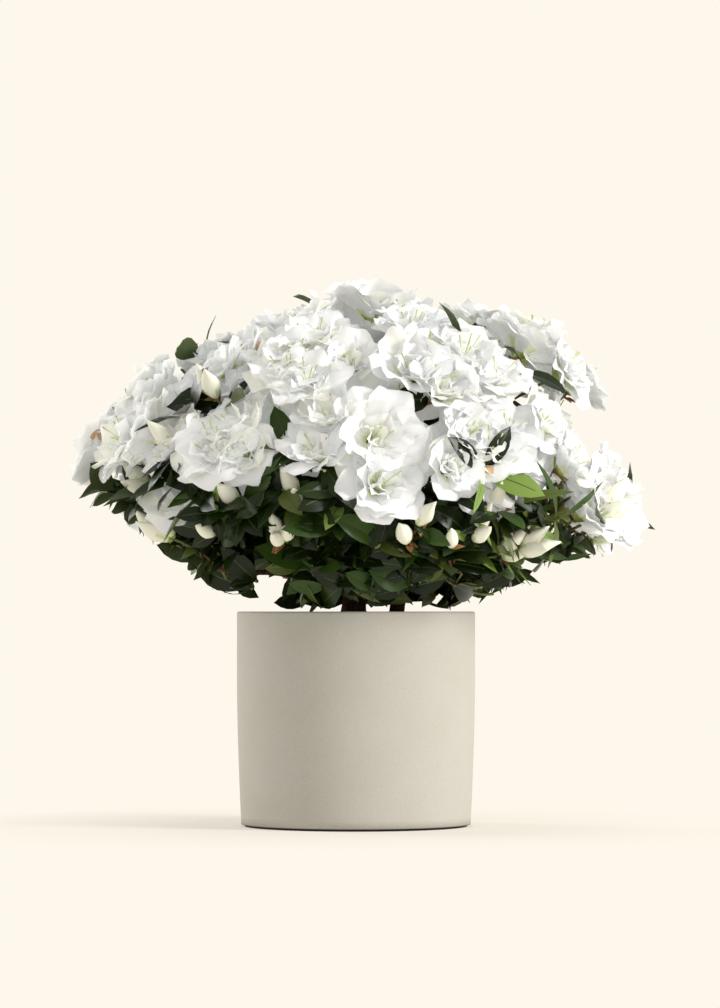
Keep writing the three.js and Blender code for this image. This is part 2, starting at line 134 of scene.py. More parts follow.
@dataclass(frozen=True)
class SoilSize:
    """How the soil lies in the pot."""

    below: float = 18
    flat_radius: float = 48
    dip: float = 5
    dip_curve: float = 1.6
    underside: float = 30


POT = PotSize()
SOIL = SoilSize()
GROUND = POT.height - SOIL.below


@dataclass(frozen=True)
class StemSize:
    """A stem that stands on the soil: its line, its girth and its root flare."""

    name: str
    foot: tuple[float, float]
    head: tuple[float, float]
    height: float
    foot_radius: float
    waist_radius: float
    head_radius: float
    flare: float
    upright: float = 0.45
    settled: float = 0.3

    def radius(self, t: float) -> float:
        """The girth at a share of the stem's length."""
        flare = max(0.0, 1 - t / self.flare)
        shaft = self.waist_radius + (self.head_radius - self.waist_radius) * t
        return shaft + (self.foot_radius - self.waist_radius) * flare * flare


TRUNK = StemSize("trunk", (-2, 2), (3, 7), 64, 15.5, 10.4, 6.4, 0.26)
SECOND_STEM = StemSize("second_stem", (29, -8), (41, -3), 58, 8.4, 5.9, 4.4, 0.22)


@dataclass(frozen=True)
class LimbSize:
    """A limb that tapers evenly from its root to its tip."""

    root_radius: float
    tip_radius: float

    def radius(self, t: float) -> float:
        """The girth at a share of the limb's length."""
        return self.root_radius + (self.tip_radius - self.root_radius) * t


@dataclass(frozen=True)
class BoughLine:
    """How a bough runs from its stem to its mass."""

    lowest: float = 0.5
    swing: float = 0.35
    sag: float = 0.04
    lift: float = 0.05


@dataclass(frozen=True)
class TwigLine:
    """How a twig runs from its mass's stem to its tip."""

    lowest: float = 0.35
    highest: float = 0.95
    stray: float = 0.35
    bend: float = 0.4


@dataclass(frozen=True)
class HeadSize:
    """The space that a bloom or a bud takes up."""

    radius: float
    depth: float
    points: int
    crest: float


@dataclass(frozen=True)
class LeafSize:
    """A leaf's blade, as the rule for growth takes it."""

    length: float = 44
    width: float = 17
    widest: float = 0.48
    droop: float = 0.1
    fold: float = 0.12
    lean: float = 0.1
    least: float = 0.8
    most: float = 1.1
    spine: tuple[float, ...] = (0.35, 0.6, 0.8, 1)
    clearance: float = 0.45


BOUGH = LimbSize(3.7, 2.1)
HEART = LimbSize(2.1, 1.6)
TWIG = LimbSize(1.4, 1.1)
BOUGH_LINE = BoughLine()
TWIG_LINE = TwigLine()
BLOOM = HeadSize(30, 17, 10, 9)
BLOOM_RUFFLE = 0.13
BUD = HeadSize(7.5, 27, 5, 0.62)
LEAF = LeafSize()

# A head or a leaf that doesn't fit is tried again at these smaller scales.
HEAD_SCALES = (1, 0.88, 0.76, 0.64)
HEAD_CLEARANCE = 0.8
LEAF_SCALES = (1, 0.8, 0.62)
LEAST_LEAVES = 3

# How many places are tried for a tip, and how many tips for each shoot that is wanted.
TRIES = 12
PATIENCE = 8

# How far heads and leaves may stand out of the crown's surface.
PROUD_HEAD = 7
PROUD_LEAF = 20

# The crown's underside: its height over the rim, its slope outwards, and how much less it slopes at +X.
UNDERSIDE_LIFT = 2
UNDERSIDE_SLOPE = 0.55
UNDERSIDE_LEAN = 0.13

# The hub that the masses are seen from, where boughs enter them, their middles and how they blend.
HUB_HEIGHT = 43
ENTERED = 0.48
MIDDLE = 0.72
EVENNESS = 14

# Which masses count as high, and which of the others lie to the back, the left or the right.
HIGH = 50
BACKWARD = 0.1
LEFTWARD = -0.1
RIGHTWARD = 0.4

# How far the finer and the inner shoots reach into a neighbour's space.
FINER_SPILL = 14
INNER_SPILL = 20


@dataclass(frozen=True)
class BloomLine:
    """The level that blooms open above, which falls towards +X.

    Attributes:
        level: its height in the middle.
        fall: how much lower it lies for each millimetre towards +X.
        bow: how much more it falls with the square of that distance.
        sideways: the least rise, in degrees, of a mass that isn't part of the skirt.
        in_bud: the share of the blooms below it that stay in bud.
        open: the share of them that open all the same.
        cover: how deep the leaves in front of the blooms reach.
        bare: the share of those leaves that are dropped.
    """

    level: float = 257
    fall: float = 0.06
    bow: float = 0.0009
    sideways: float = 10
    in_bud: float = 0.6
    open: float = 0.12
    cover: float = 24
    bare: float = 0.62

    def at(self, x: float) -> float:
        """The level at a place from side to side."""
        return self.level - self.fall * x - self.bow * max(0.0, x) ** 2


@dataclass(frozen=True)
class BloomRoom:
    """The room over a bloom that has to stay free of leaves, for a full-sized bloom."""

    floor: float = 1
    height: float = 20
    radius: float = 27
    probes: tuple[float, ...] = (0.5, 0.75, 1.0)


BLOOM_LINE = BloomLine()
BLOOM_ROOM = BloomRoom()


class Kind(Enum):
    """What a shoot ends in."""

    BLOOM = "bloom"
    BUD = "bud"
    SPRIG = "sprig"


class Part(Enum):
    """A part of the crown whose leaves, or blooms, are joined in one piece."""

    SKIRT = "skirt"
    BACK = "back"
    FRONT = "front"
    LEFT = "left"
    RIGHT = "right"
    TOP = "top"


@dataclass(frozen=True)
class WhorlRule:
    """The whorls of leaves along a twig: slots and leaves in each, their lean, and where they stand."""

    slots: int
    leaves: int
    lean: float
    tiers: tuple[float, ...]


@dataclass(frozen=True)
class ShootRule:
    """Where a shoot's tip may lie and how its twig runs.

    Attributes:
        shallow: the least depth of its tip under the crown's surface.
        deep: the greatest depth.
        stray: how far its way may turn from the way of its mass.
        margin: how far it stays inside its mass's own space.
        apart: the least distance between tips.
        whorls: its leaves.
        least_head: the smallest scale of its bloom or bud.
        straight: the least straight distance from root to tip, as a share of the way along the bend.
    """

    shallow: float
    deep: float
    stray: float
    margin: float
    apart: float
    whorls: WhorlRule
    least_head: float = 0.0
    straight: float = 0.0


RULES = {
    Kind.BLOOM: ShootRule(22, 30, 0.85, 17, 29, WhorlRule(5, 2, 1.28, (0.93,))),
    Kind.BUD: ShootRule(22, 40, 0.8, 9, 18, WhorlRule(5, 4, 1.2, (0.93,))),
    Kind.SPRIG: ShootRule(10, 80, 0.8, 9, 13, WhorlRule(4, 4, 1.0, (0.72, 0.96))),
}


@dataclass(frozen=True)
class Pocket:
    """A round opening seen from the front that the finer growth leaves open."""

    x: float
    z: float
    radius: float


POCKETS = (
    Pocket(-70, 184, 19),
    Pocket(-95, 392, 24),
    Pocket(78, 386, 17),
    Pocket(184, 307, 27),
    Pocket(-222, 290, 26),
)

# The finer growth that follows: more shoots of each kind, closer together and further in.
FINER_RULES = {
    Kind.BLOOM: ShootRule(16, 54, 0.95, 0, 17, WhorlRule(5, 1, 1.28, (0.93,)), least_head=0.7),
    Kind.BUD: ShootRule(14, 34, 0.9, 2, 14, WhorlRule(5, 3, 1.2, (0.93,))),
    Kind.SPRIG: ShootRule(8, 70, 0.95, 2, 12, WhorlRule(4, 4, 1.05, (0.97,)), straight=0.8),
}

# The shoots low down and near the stems, which only the masses of the skirt carry.
INNER_WHORLS = WhorlRule(4, 4, 1.1, (0.8, 0.97))
BASAL_RULES = {Kind.SPRIG: ShootRule(50, 135, 1.25, 0, 8, INNER_WHORLS, straight=0.55)}

# The leafy shoots inside the crown, behind the blossom.
INNER_RULES = {Kind.SPRIG: ShootRule(55, 105, 1.1, 0, 10, INNER_WHORLS, straight=0.5)}

# The leaves round a head that stays shut, and the smaller ones further down each kind of shoot.
HELD_BACK_WHORL = WhorlRule(5, 5, 0.95, (0.98,))
LOWER_WHORLS = {
    Kind.BLOOM: WhorlRule(5, 1, 1.12, (0.8,)),
    Kind.BUD: WhorlRule(5, 3, 1.05, (0.8,)),
    Kind.SPRIG: WhorlRule(5, 1, 0.9, (0.86,)),
}


@dataclass(frozen=True)
class Growth:
    """One round of growth.

    Attributes:
        seed: the seed of the first mass; the next ones follow on.
        rules: where each kind of shoot may stand.
        share: how many shoots of each kind there are for each one that the mass carries by rule.
        spill: how far a shoot may reach into a neighbour's space.
        steepest: how steeply a mass may rise to carry them, in degrees.
    """

    seed: int
    rules: dict[Kind, ShootRule]
    share: dict[Kind, float]
    spill: float
    steepest: float = 90


ROUNDS = (
    Growth(SEED, RULES, {kind: 1.0 for kind in Kind}, 0),
    Growth(SEED + 100, FINER_RULES, {Kind.BLOOM: 1.7, Kind.BUD: 2.0, Kind.SPRIG: 0.8}, FINER_SPILL),
    Growth(SEED + 400, BASAL_RULES, {Kind.SPRIG: 1.2}, INNER_SPILL, steepest=5),
    Growth(SEED + 600, INNER_RULES, {Kind.SPRIG: 1.0}, INNER_SPILL),
)


@dataclass
class Mass:
    """One mass of the crown, seen from the hub: its way, its reach and what its shoots end in."""

    name: str
    bearing: float
    rise: float
    reach: float
    bloom: int
    bud: int
    sprig: int
    index: int = 0
    outward: Array = field(default_factory=lambda: np.zeros(3))
    middle: Array = field(default_factory=lambda: np.zeros(3))

    def wanted(self, kind: Kind) -> int:
        """How many shoots of a kind the mass carries."""
        return {Kind.BLOOM: self.bloom, Kind.BUD: self.bud, Kind.SPRIG: self.sprig}[kind]

    def part(self) -> Part:
        """The part of the crown that it belongs to."""
        aside, back, _ = self.outward
        if self.rise < BLOOM_LINE.sideways:
            return Part.SKIRT
        if self.rise < HIGH:
            return Part.BACK if back > BACKWARD else Part.FRONT
        if aside < LEFTWARD:
            return Part.LEFT
        return Part.RIGHT if aside > RIGHTWARD else Part.TOP


MASSES = [
    Mass("top", 60, 84, 214, 6, 0, 3),
    Mass("upper_left", 188, 54, 203, 6, 0, 3),
    Mass("upper_front", 254, 55, 198, 6, 0, 4),
    Mass("upper_middle", 306, 56, 206, 5, 0, 3),
    Mass("upper_right", 0, 53, 246, 6, 0, 2),
    Mass("upper_back", 105, 54, 206, 5, 0, 1),
    Mass("left", 184, 36, 234, 6, 0, 3),
    Mass("front_left", 226, 26, 206, 5, 1, 5),
    Mass("front", 262, 25, 198, 5, 0, 5),
    Mass("front_right", 312, 26, 208, 5, 0, 4),
    Mass("right", 354, 8, 213, 5, 1, 4),
    Mass("back_right", 42, 28, 212, 5, 0, 2),
    Mass("back", 90, 23, 198, 5, 1, 3),
    Mass("back_left", 137, 27, 212, 5, 0, 2),
    Mass("skirt_left", 208, 3, 160, 0, 3, 8),
    Mass("skirt_front", 254, 1, 154, 0, 3, 8),
    Mass("skirt_right", 306, 2, 172, 1, 2, 10),
    Mass("skirt_back_right", 62, 1, 166, 0, 0, 8),
    Mass("skirt_back_left", 118, 1, 166, 0, 0, 8),
]


# ---------------------------------------------------------------- lines


class Bezier:
    """A Bezier curve of any degree."""

    def __init__(self, *points: Array) -> None:
        """Keeps the curve's points, from its start to its end."""
        self.points = np.array(points, float)

    def at(self, t: float | Array) -> Array:
        """The points at shares of the curve's length."""
        t = np.asarray(t, float)[..., None]
        rows = [np.broadcast_to(p, t.shape[:-1] + (3,)) for p in self.points]
        while len(rows) > 1:
            rows = [a * (1 - t) + b * t for a, b in zip(rows, rows[1:])]
        return rows[0]

    def along(self, t: float) -> Array:
        """The way that the curve runs at a share of its length."""
        step = 0.0001
        return unit(self.at(min(1.0, t + step)) - self.at(max(0.0, t - step)))


@dataclass
class Station:
    """An upright frame on a curve: its middle, the way along it and two ways across."""

    middle: Array
    along: Array
    across: Array
    up: Array

    def way_out(self, turn: float) -> Array:
        """The way out from the middle at a turn round the curve."""
        return self.across * math.cos(turn) + self.up * math.sin(turn)

    def at_turn(self, turn: float, radius: float, lift: float) -> Array:
        """A point at a turn and radius round the curve, lifted along it."""
        return self.middle + self.along * lift + self.way_out(turn) * radius


def stations(curve: Bezier, shares: Sequence[float]) -> list[Station]:
    """Untwisted frames at several shares of a curve's length.

    Args:
        curve: the curve that they stand on.
        shares: where on it, from 0 at its start to 1 at its end.

    Returns:
        One frame for each share.
    """
    start = curve.along(shares[0])
    across = np.array([0.0, 1, 0]) if abs(start[0]) > 0.8 else np.array([1.0, 0, 0])
    found = []
    for t in shares:
        along = curve.along(t)
        across = unit(across - along * (across @ along))
        found.append(Station(curve.at(t), along, across, np.cross(along, across)))
    return found


# ---------------------------------------------------------------- the crown's rule


@dataclass
class LeafSeat:
    """Where a leaf sits and how large it is."""

    foot: Array
    heading: Array
    face: Array
    length: float
    width: float


@dataclass
class Shoot:
    """A twig with its leaves and what it ends in."""

    kind: Kind
    mass: Mass
    curve: Bezier
    turn: float
    end: Station
    scale: float
    leaves: list[LeafSeat]


class Crown:
    """The space of the crown and everything that grows in it by rule."""

    STEM_STEPS = 12
    BOUGH_STEPS = 24
    TWIG_POINTS = 7

    def __init__(self) -> None:
        """Lays out the stems, boughs and masses."""
        self.hub = np.array([0.0, 0, GROUND + HUB_HEIGHT])
        self.masses = MASSES
        for index, mass in enumerate(self.masses):
            turn, tilt = math.radians(mass.bearing), math.radians(mass.rise)
            level = math.cos(tilt)
            mass.index = index
            mass.outward = np.array([level * math.cos(turn), level * math.sin(turn), math.sin(tilt)])
            mass.middle = self.hub + mass.outward * MIDDLE * mass.reach
        self.outwards = np.array([mass.outward for mass in self.masses])
        self.middles = np.array([mass.middle for mass in self.masses])
        self.reaches = np.array([float(mass.reach) for mass in self.masses])
        self.tips: list[Array] = []
        self.shoots: list[Shoot] = []
        self.stems = {size.name: self.stem_curve(size) for size in (TRUNK, SECOND_STEM)}
        limbs = [self.samples(self.stems[s.name], s.radius, self.STEM_STEPS) for s in (TRUNK, SECOND_STEM)]
        self.boughs = {}
        self.hearts = {}
        for mass in self.masses:
            bough = self.bough_curve(mass)
            self.boughs[mass.name] = bough
            limbs.append(self.samples(bough, BOUGH.radius, self.BOUGH_STEPS))
            self.hearts[mass.name] = self.heart_curve(bough, mass)
        self.limb_points = np.concatenate([points for points, _ in limbs])
        self.limb_radii = np.concatenate([radii for _, radii in limbs])

    @staticmethod
    def stem_curve(size: StemSize) -> Bezier:
        """A stem rises straight from its flat foot and leans over towards its head."""
        foot = np.array([*size.foot, GROUND + GAP])
        head = np.array([*size.head, GROUND + size.height], float)
        over_foot = np.array([foot[0], foot[1], foot[2] + size.height * size.upright])
        under_head = head * (1 - size.settled) + foot * size.settled
        under_head[2] = head[2] - size.height * size.settled
        return Bezier(foot, over_foot, under_head, head)

    def bough_curve(self, mass: Mass) -> Bezier:
        """A bough leaves the nearer stem and ends where it enters its mass."""
        sizes = (TRUNK, SECOND_STEM)
        near = min(sizes, key=lambda s: math.hypot(s.head[0] - mass.middle[0], s.head[1] - mass.middle[1]))
        lowest = BOUGH_LINE.lowest
        root = self.stems[near.name].at(lowest + (1 - lowest) * max(0.0, mass.outward[2]))
        tip = self.hub + mass.outward * ENTERED * mass.reach
        length = float(np.linalg.norm(tip - root))
        outward = (tip - root) / length
        leaving = root + outward * length * BOUGH_LINE.swing - [0, 0, length * BOUGH_LINE.sag]
        arriving = tip - outward * length * BOUGH_LINE.swing + [0, 0, length * BOUGH_LINE.lift]
        return Bezier(root, leaving, arriving, tip)

    @staticmethod
    def heart_curve(bough: Bezier, mass: Mass) -> Bezier:
        """A mass's own stem carries on from its bough's tip to the mass's middle."""
        along = bough.along(1)
        root = bough.at(1) + along * GAP
        bend = root + along * float(np.linalg.norm(root - mass.middle)) / 2
        return Bezier(root, bend, mass.middle)

    @staticmethod
    def samples(curve: Bezier, radius: Callable[[float], float], count: int) -> tuple[Array, Array]:
        """Points along a limb and its girth at each."""
        shares = np.linspace(0, 1, count + 1)
        return curve.at(shares), np.array([radius(t) for t in shares])

    def surface(self, ways: Array) -> Array:
        """How far from the hub the crown's surface lies in each of several directions."""
        weights = np.exp(EVENNESS * (ways @ self.outwards.T - 1))
        return (weights @ self.reaches) / weights.sum(-1)

    def is_in_cell(self, points: Array, margin: float, mass: Mass) -> bool:
        """Whether points lie on a mass's own side of the planes between it and the others."""
        others = np.arange(len(self.masses)) != mass.index
        squares = ((points[:, None] - self.middles[None]) ** 2).sum(-1)
        apart = np.linalg.norm(self.middles - mass.middle, axis=1)[others]
        nearer = (squares[:, others] - squares[:, mass.index, None]) / (2 * apart)
        return bool((nearer > margin).all())

    @staticmethod
    def is_in_pocket(points: Array) -> bool:
        """Whether any of the points lies in a pocket of air."""
        spots = np.array([(one.x, one.z) for one in POCKETS])
        apart = np.linalg.norm(points[:, None, ::2] - spots[None], axis=-1)
        return bool((apart < [one.radius for one in POCKETS]).any())

    @staticmethod
    def is_above_underside(points: Array, margin: float) -> bool:
        """Whether points lie above the crown's underside, which rises outwards from the rim."""
        across = np.hypot(points[:, 0], points[:, 1])
        slope = UNDERSIDE_SLOPE - UNDERSIDE_LEAN * points[:, 0] / np.maximum(across, 1)
        level = POT.height + UNDERSIDE_LIFT + slope * np.maximum(0, across - POT.rim_radius)
        return bool((points[:, 2] > level + margin).all())

    def is_inside(self, points: Array, proud: float, mass: Mass, spill: float = 0) -> bool:
        """Whether points lie within the mass's space.

        Args:
            points: the points, one a row.
            proud: how far they may stand out of the crown's surface.
            mass: the mass that they belong to.
            spill: how far they may reach into a neighbour's space.

        Returns:
            True if all of them do.
        """
        out = points - self.hub
        far = np.linalg.norm(out, axis=1)
        within = bool((far < self.surface(out / far[:, None]) + proud).all())
        if spill and self.is_in_pocket(points):
            return False
        return within and self.is_above_underside(points, 0) and self.is_in_cell(points, GAP - spill, mass)

    def is_clear(self, points: Array, girth: float) -> bool:
        """Whether points stay off every limb by their own girth."""
        apart = np.linalg.norm(points[:, None] - self.limb_points[None], axis=-1)
        return bool((apart > girth + self.limb_radii + GAP).all())

    # ------------------------------------------------------------ shoots

    def whorl(
        self, chance: Chance, station: Station, rule: WhorlRule, start: float, mass: Mass, spill: float
    ) -> list[LeafSeat]:
        """The leaves of one whorl, without those that would leave the space or touch a limb."""
        seats = []
        for k in range(rule.slots):
            lean = chance.between(rule.lean - LEAF.lean, rule.lean + LEAF.lean)
            size = chance.between(LEAF.least, LEAF.most)
            if chance.between(0, 1) >= rule.leaves / rule.slots:
                continue
            side = station.way_out(start + TAU * (k + 0.5) / rule.slots)
            heading = side * math.sin(lean) + station.along * math.cos(lean)
            across = np.cross(station.along, side)
            for scale in LEAF_SCALES:
                length, width = LEAF.length * size * scale, LEAF.width * size * scale
                middle = station.middle + heading * length * LEAF.widest
                middle = middle + station.along * LEAF.fold * width
                tip = station.middle + heading * length - [0, 0, LEAF.droop * length]
                outline = np.array([middle - across * width / 2, middle + across * width / 2, tip])
                spine = np.array([station.middle + (tip - station.middle) * s for s in LEAF.spine])
                clear = self.is_clear(spine, width * LEAF.clearance)
                if self.is_inside(outline, PROUD_LEAF, mass, spill) and clear:
                    foot = station.middle + side * TWIG.tip_radius
                    seats.append(LeafSeat(foot, heading, station.along, length, width))
                    break
        return seats

    def head_points(self, kind: Kind, end: Station, turn: float, scale: float) -> Array:
        """The outermost points of a bloom or a bud."""
        if kind is Kind.BUD:
            girth, depth = BUD.radius * scale, BUD.depth * scale
            turns = [turn + k * TAU / BUD.points for k in range(BUD.points)]
            rim = [end.at_turn(around, girth, depth * BUD.crest) for around in turns]
            return np.array([*rim, end.middle + end.along * depth])
        girth, depth = BLOOM.radius * scale, BLOOM.depth * scale
        points = []
        for place in range(BLOOM.points):
            wave = -BLOOM_RUFFLE if place % 2 else BLOOM_RUFFLE
            around = turn + place * TAU / BLOOM.points
            points.append(end.at_turn(around, girth * (1 + wave / 2), depth + girth * wave))
        return np.array([*points, end.middle + end.along * (depth + BLOOM.crest * scale)])

    def shoot(
        self, chance: Chance, kind: Kind, tip: Array, way: Array, mass: Mass, rule: ShootRule, spill: float
    ) -> Shoot | None:
        """One shoot from the mass's stem to its tip, or None where it doesn't fit."""
        heading = unit(way + chance.direction() * TWIG_LINE.stray)
        root = self.hearts[mass.name].at(chance.between(TWIG_LINE.lowest, TWIG_LINE.highest))
        turn = chance.between(0, TAU)
        bend = tip - heading * TWIG_LINE.bend * float(np.linalg.norm(tip - root))
        curve = Bezier(root, bend, tip)
        run = float(np.linalg.norm(bend - root) + np.linalg.norm(tip - bend))
        if np.linalg.norm(tip - root) < rule.straight * run:
            return None
        found = stations(curve, [0, 0.5, *rule.whorls.tiers, 1])
        leaves: list[LeafSeat] = []
        for i, station in enumerate(found[2:-1]):
            start = turn + i * math.pi / rule.whorls.slots
            leaves += self.whorl(chance, station, rule.whorls, start, mass, spill)
        twig = curve.at(np.linspace(0, 1, self.TWIG_POINTS))
        if not self.is_inside(twig, 0, mass, spill) or not self.is_clear(twig, TWIG.root_radius):
            return None
        end = found[-1]
        if kind is Kind.SPRIG:
            fits = len(leaves) >= LEAST_LEAVES
            return Shoot(kind, mass, curve, turn, end, 1.0, leaves) if fits else None
        girth = BLOOM.radius if kind is Kind.BLOOM else BUD.radius
        for scale in HEAD_SCALES:
            if scale < rule.least_head:
                return None
            middle = end.middle + end.along * BLOOM.depth * scale
            points = self.head_points(kind, end, turn, scale)
            clear = self.is_clear(np.array([end.middle, middle]), girth * scale * HEAD_CLEARANCE)
            if self.is_inside(points, PROUD_HEAD, mass, spill) and clear:
                return Shoot(kind, mass, curve, turn, end, scale, leaves)
        return None

    def next_tip(self, chance: Chance, mass: Mass, rule: ShootRule) -> tuple[Array, Array] | None:
        """Of several places for a tip, the one farthest from the tips already there."""
        best = None
        widest = rule.apart
        for _ in range(TRIES):
            way = unit(mass.outward + chance.direction() * rule.stray)
            depth = chance.between(rule.shallow, rule.deep)
            point = self.hub + way * (float(self.surface(way)) - depth)
            row = point[None]
            if not (self.is_in_cell(row, rule.margin, mass) and self.is_above_underside(row, rule.margin)):
                continue
            gap = min((float(np.linalg.norm(one - point)) for one in self.tips), default=math.inf)
            if gap > widest:
                widest = gap
                best = (point, way)
        return best

    def grow(self, stage: Growth) -> None:
        """Grows one round of shoots on the masses."""
        for mass in self.masses:
            if mass.rise > stage.steepest:
                continue
            chance = Chance(stage.seed + mass.index)
            for kind, rule in stage.rules.items():
                wanted = round(mass.wanted(kind) * stage.share[kind])
                made = tries = 0
                while tries < PATIENCE * wanted and made < wanted:
                    tries += 1
                    place = self.next_tip(chance, mass, rule)
                    grown = place and self.shoot(chance, kind, *place, mass, rule, stage.spill)
                    if not grown:
                        continue
                    self.tips.append(place[0])
                    self.shoots.append(grown)
                    made += 1

    def hold_back(self, seed: int) -> None:
        """Leaves the blooms that stand too low unopened: some in bud, the rest in leaf."""
        chance = Chance(seed)
        rule = HELD_BACK_WHORL
        for shoot in self.shoots:
            level = BLOOM_LINE.at(float(shoot.end.middle[0]))
            is_low = shoot.mass.rise >= BLOOM_LINE.sideways and shoot.end.middle[2] < level
            if shoot.kind is not Kind.BLOOM or not is_low or chance.between(0, 1) < BLOOM_LINE.open:
                continue
            shoot.kind = Kind.BUD if chance.between(0, 1) < BLOOM_LINE.in_bud else Kind.SPRIG
            station = stations(shoot.curve, rule.tiers)[0]
            shoot.leaves += self.whorl(chance, station, rule, shoot.turn + 0.5, shoot.mass, FINER_SPILL)

    def leaf_out(self, seed: int) -> None:
        """Adds the whorls of smaller leaves that stand further down each shoot."""
        chance = Chance(seed)
        for shoot in self.shoots:
            rule = LOWER_WHORLS[shoot.kind]
            for i, station in enumerate(stations(shoot.curve, rule.tiers)):
                start = shoot.turn + (i + 0.5) * math.pi / rule.slots
                shoot.leaves += self.whorl(chance, station, rule, start, shoot.mass, FINER_SPILL)

    def thin_out(self, seed: int) -> None:
        """Drops most of the leaves that would stand in front of the open blooms."""
        chance = Chance(seed)
        for shoot in self.shoots:
            if shoot.end.middle[2] < BLOOM_LINE.at(float(shoot.end.middle[0])) + BLOOM_LINE.cover:
                continue
            kept = []
            for leaf in shoot.leaves:
                out = leaf.foot + leaf.heading * leaf.length - self.hub
                far = float(np.linalg.norm(out))
                is_proud = far > float(self.surface(out / far)) - BLOOM_LINE.cover
                if not (is_proud and chance.between(0, 1) < BLOOM_LINE.bare):
                    kept.append(leaf)
            shoot.leaves = kept

    def clear_blooms(self) -> None:
        """Drops the leaves that would run through an open bloom."""
        blooms = [shoot for shoot in self.shoots if shoot.kind is Kind.BLOOM]
        middles = np.array([bloom.end.middle for bloom in blooms])
        ways = np.array([bloom.end.along for bloom in blooms])
        sizes = np.array([bloom.scale for bloom in blooms])
        for shoot in self.shoots:
            shoot.leaves = [leaf for leaf in shoot.leaves if not self.meets_bloom(leaf, middles, ways, sizes)]

    @staticmethod
    def meets_bloom(leaf: LeafSeat, middles: Array, ways: Array, sizes: Array) -> bool:
        """Whether a leaf runs through a bloom.

        Args:
            leaf: where the leaf sits.
            middles: where each bloom sits.
            ways: the way that each bloom faces.
            sizes: each bloom's scale.

        Returns:
            True if it runs through any of them.
        """
        for share in BLOOM_ROOM.probes:
            out = leaf.foot + leaf.heading * leaf.length * share - middles
            height = (out * ways).sum(axis=1)
            radius = np.linalg.norm(out - height[:, None] * ways, axis=1)
            is_over = (height > BLOOM_ROOM.floor) & (height < BLOOM_ROOM.height * sizes)
            if (is_over & (radius < BLOOM_ROOM.radius * sizes)).any():
                return True
        return False


def parts_of(masses: Sequence[Mass]) -> dict[Part, list[Mass]]:
    """The masses of each part of the crown, in the order that the parts are met."""
    found: dict[Part, list[Mass]] = {}
    for mass in masses:
        found.setdefault(mass.part(), []).append(mass)
    return found


# ---------------------------------------------------------------- meshes from templates


@dataclass
class Template:
    """A small closed mesh whose points are places on a piece: across, along and through it.

    Attributes:
        points: its points.
        faces: the corners of its four-sided faces.
        caps: the corners of the faces that close its ends, if it has them.
        rim: which points lie on its crisp edge.
    """

    points: Array
    faces: Array
    caps: Array
    rim: Array

    @property
    def middles(self) -> Array:
        """The middle of each four-sided face."""
        return self.points[self.faces].mean(1)

    @property
    def cap_neighbours(self) -> Array:
        """For each cap, a four-sided face that lies at its end."""
        rise = self.middles[:, 2]
        is_low = self.points[self.caps[:, 0], 2] < 0.5
        return np.where(is_low, rise.argmin(), rise.argmax())

    @staticmethod
    def blade(along: int, across: int) -> "Template":
        """A thin closed sheet: two skins that share their edge.

        Args:
            along: faces from its foot to its tip.
            across: faces from side to side.

        Returns:
            Points with x from -1 to 1 across, y from 0 to 1 along and z of -1 on the lower skin.
        """
        mesh = bmesh.new()
        bmesh.ops.create_grid(mesh, x_segments=across, y_segments=along, size=1)
        bmesh.ops.translate(mesh, verts=mesh.verts, vec=(0, 1, 0))
        bmesh.ops.scale(mesh, verts=mesh.verts, vec=(1, 0.5, 1))
        copy = bmesh.ops.duplicate(mesh, geom=mesh.verts[:] + mesh.edges[:] + mesh.faces[:])
        lower = [item for item in copy["geom"] if isinstance(item, bmesh.types.BMFace)]
        bmesh.ops.reverse_faces(mesh, faces=lower)
        for face in lower:
            for vert in face.verts:
                if not vert.is_boundary:
                    vert.co.z = -1
        bmesh.ops.remove_doubles(mesh, verts=mesh.verts, dist=1e-4)
        points = Template.places(mesh)
        faces = np.array([[vert.index for vert in face.verts] for face in mesh.faces])
        mesh.free()
        near = 0.001
        at_side = np.abs(points[:, 0]) > 1 - near
        rim = at_side | (points[:, 1] < near) | (points[:, 1] > 1 - near)
        return Template(points, faces, np.empty((0, 4), int), rim)

    @staticmethod
    def tube(sides: int, steps: int) -> "Template":
        """A closed tube of radius 1 round the line from z = 0 to z = 1."""
        mesh = bmesh.new()
        bmesh.ops.create_circle(mesh, segments=sides, radius=1, cap_ends=False)
        edges = mesh.edges[:]
        for _ in range(steps):
            grown = bmesh.ops.extrude_edge_only(mesh, edges=edges)["geom"]
            verts = [item for item in grown if isinstance(item, bmesh.types.BMVert)]
            edges = [item for item in grown if isinstance(item, bmesh.types.BMEdge)]
            edges = [edge for edge in edges if all(vert in verts for vert in edge.verts)]
            bmesh.ops.translate(mesh, verts=verts, vec=(0, 0, 1 / steps))
        bmesh.ops.holes_fill(mesh, edges=mesh.edges, sides=0)
        bmesh.ops.recalc_face_normals(mesh, faces=mesh.faces)
        points = Template.places(mesh)
        corners = [[vert.index for vert in face.verts] for face in mesh.faces]
        mesh.free()
        flat = [np.ptp(points[one][:, 2]) < 1e-6 for one in corners]
        caps = np.array([one for one, is_cap in zip(corners, flat) if is_cap])
        faces = np.array([one for one, is_cap in zip(corners, flat) if not is_cap])
        return Template(points, faces, caps, np.zeros(len(points), bool))

    @staticmethod
    def places(mesh: bmesh.types.BMesh) -> Array:
        """A mesh's points, its vertices numbered to match."""
        mesh.verts.ensure_lookup_table()
        mesh.verts.index_update()
        return np.array([vert.co[:] for vert in mesh.verts])


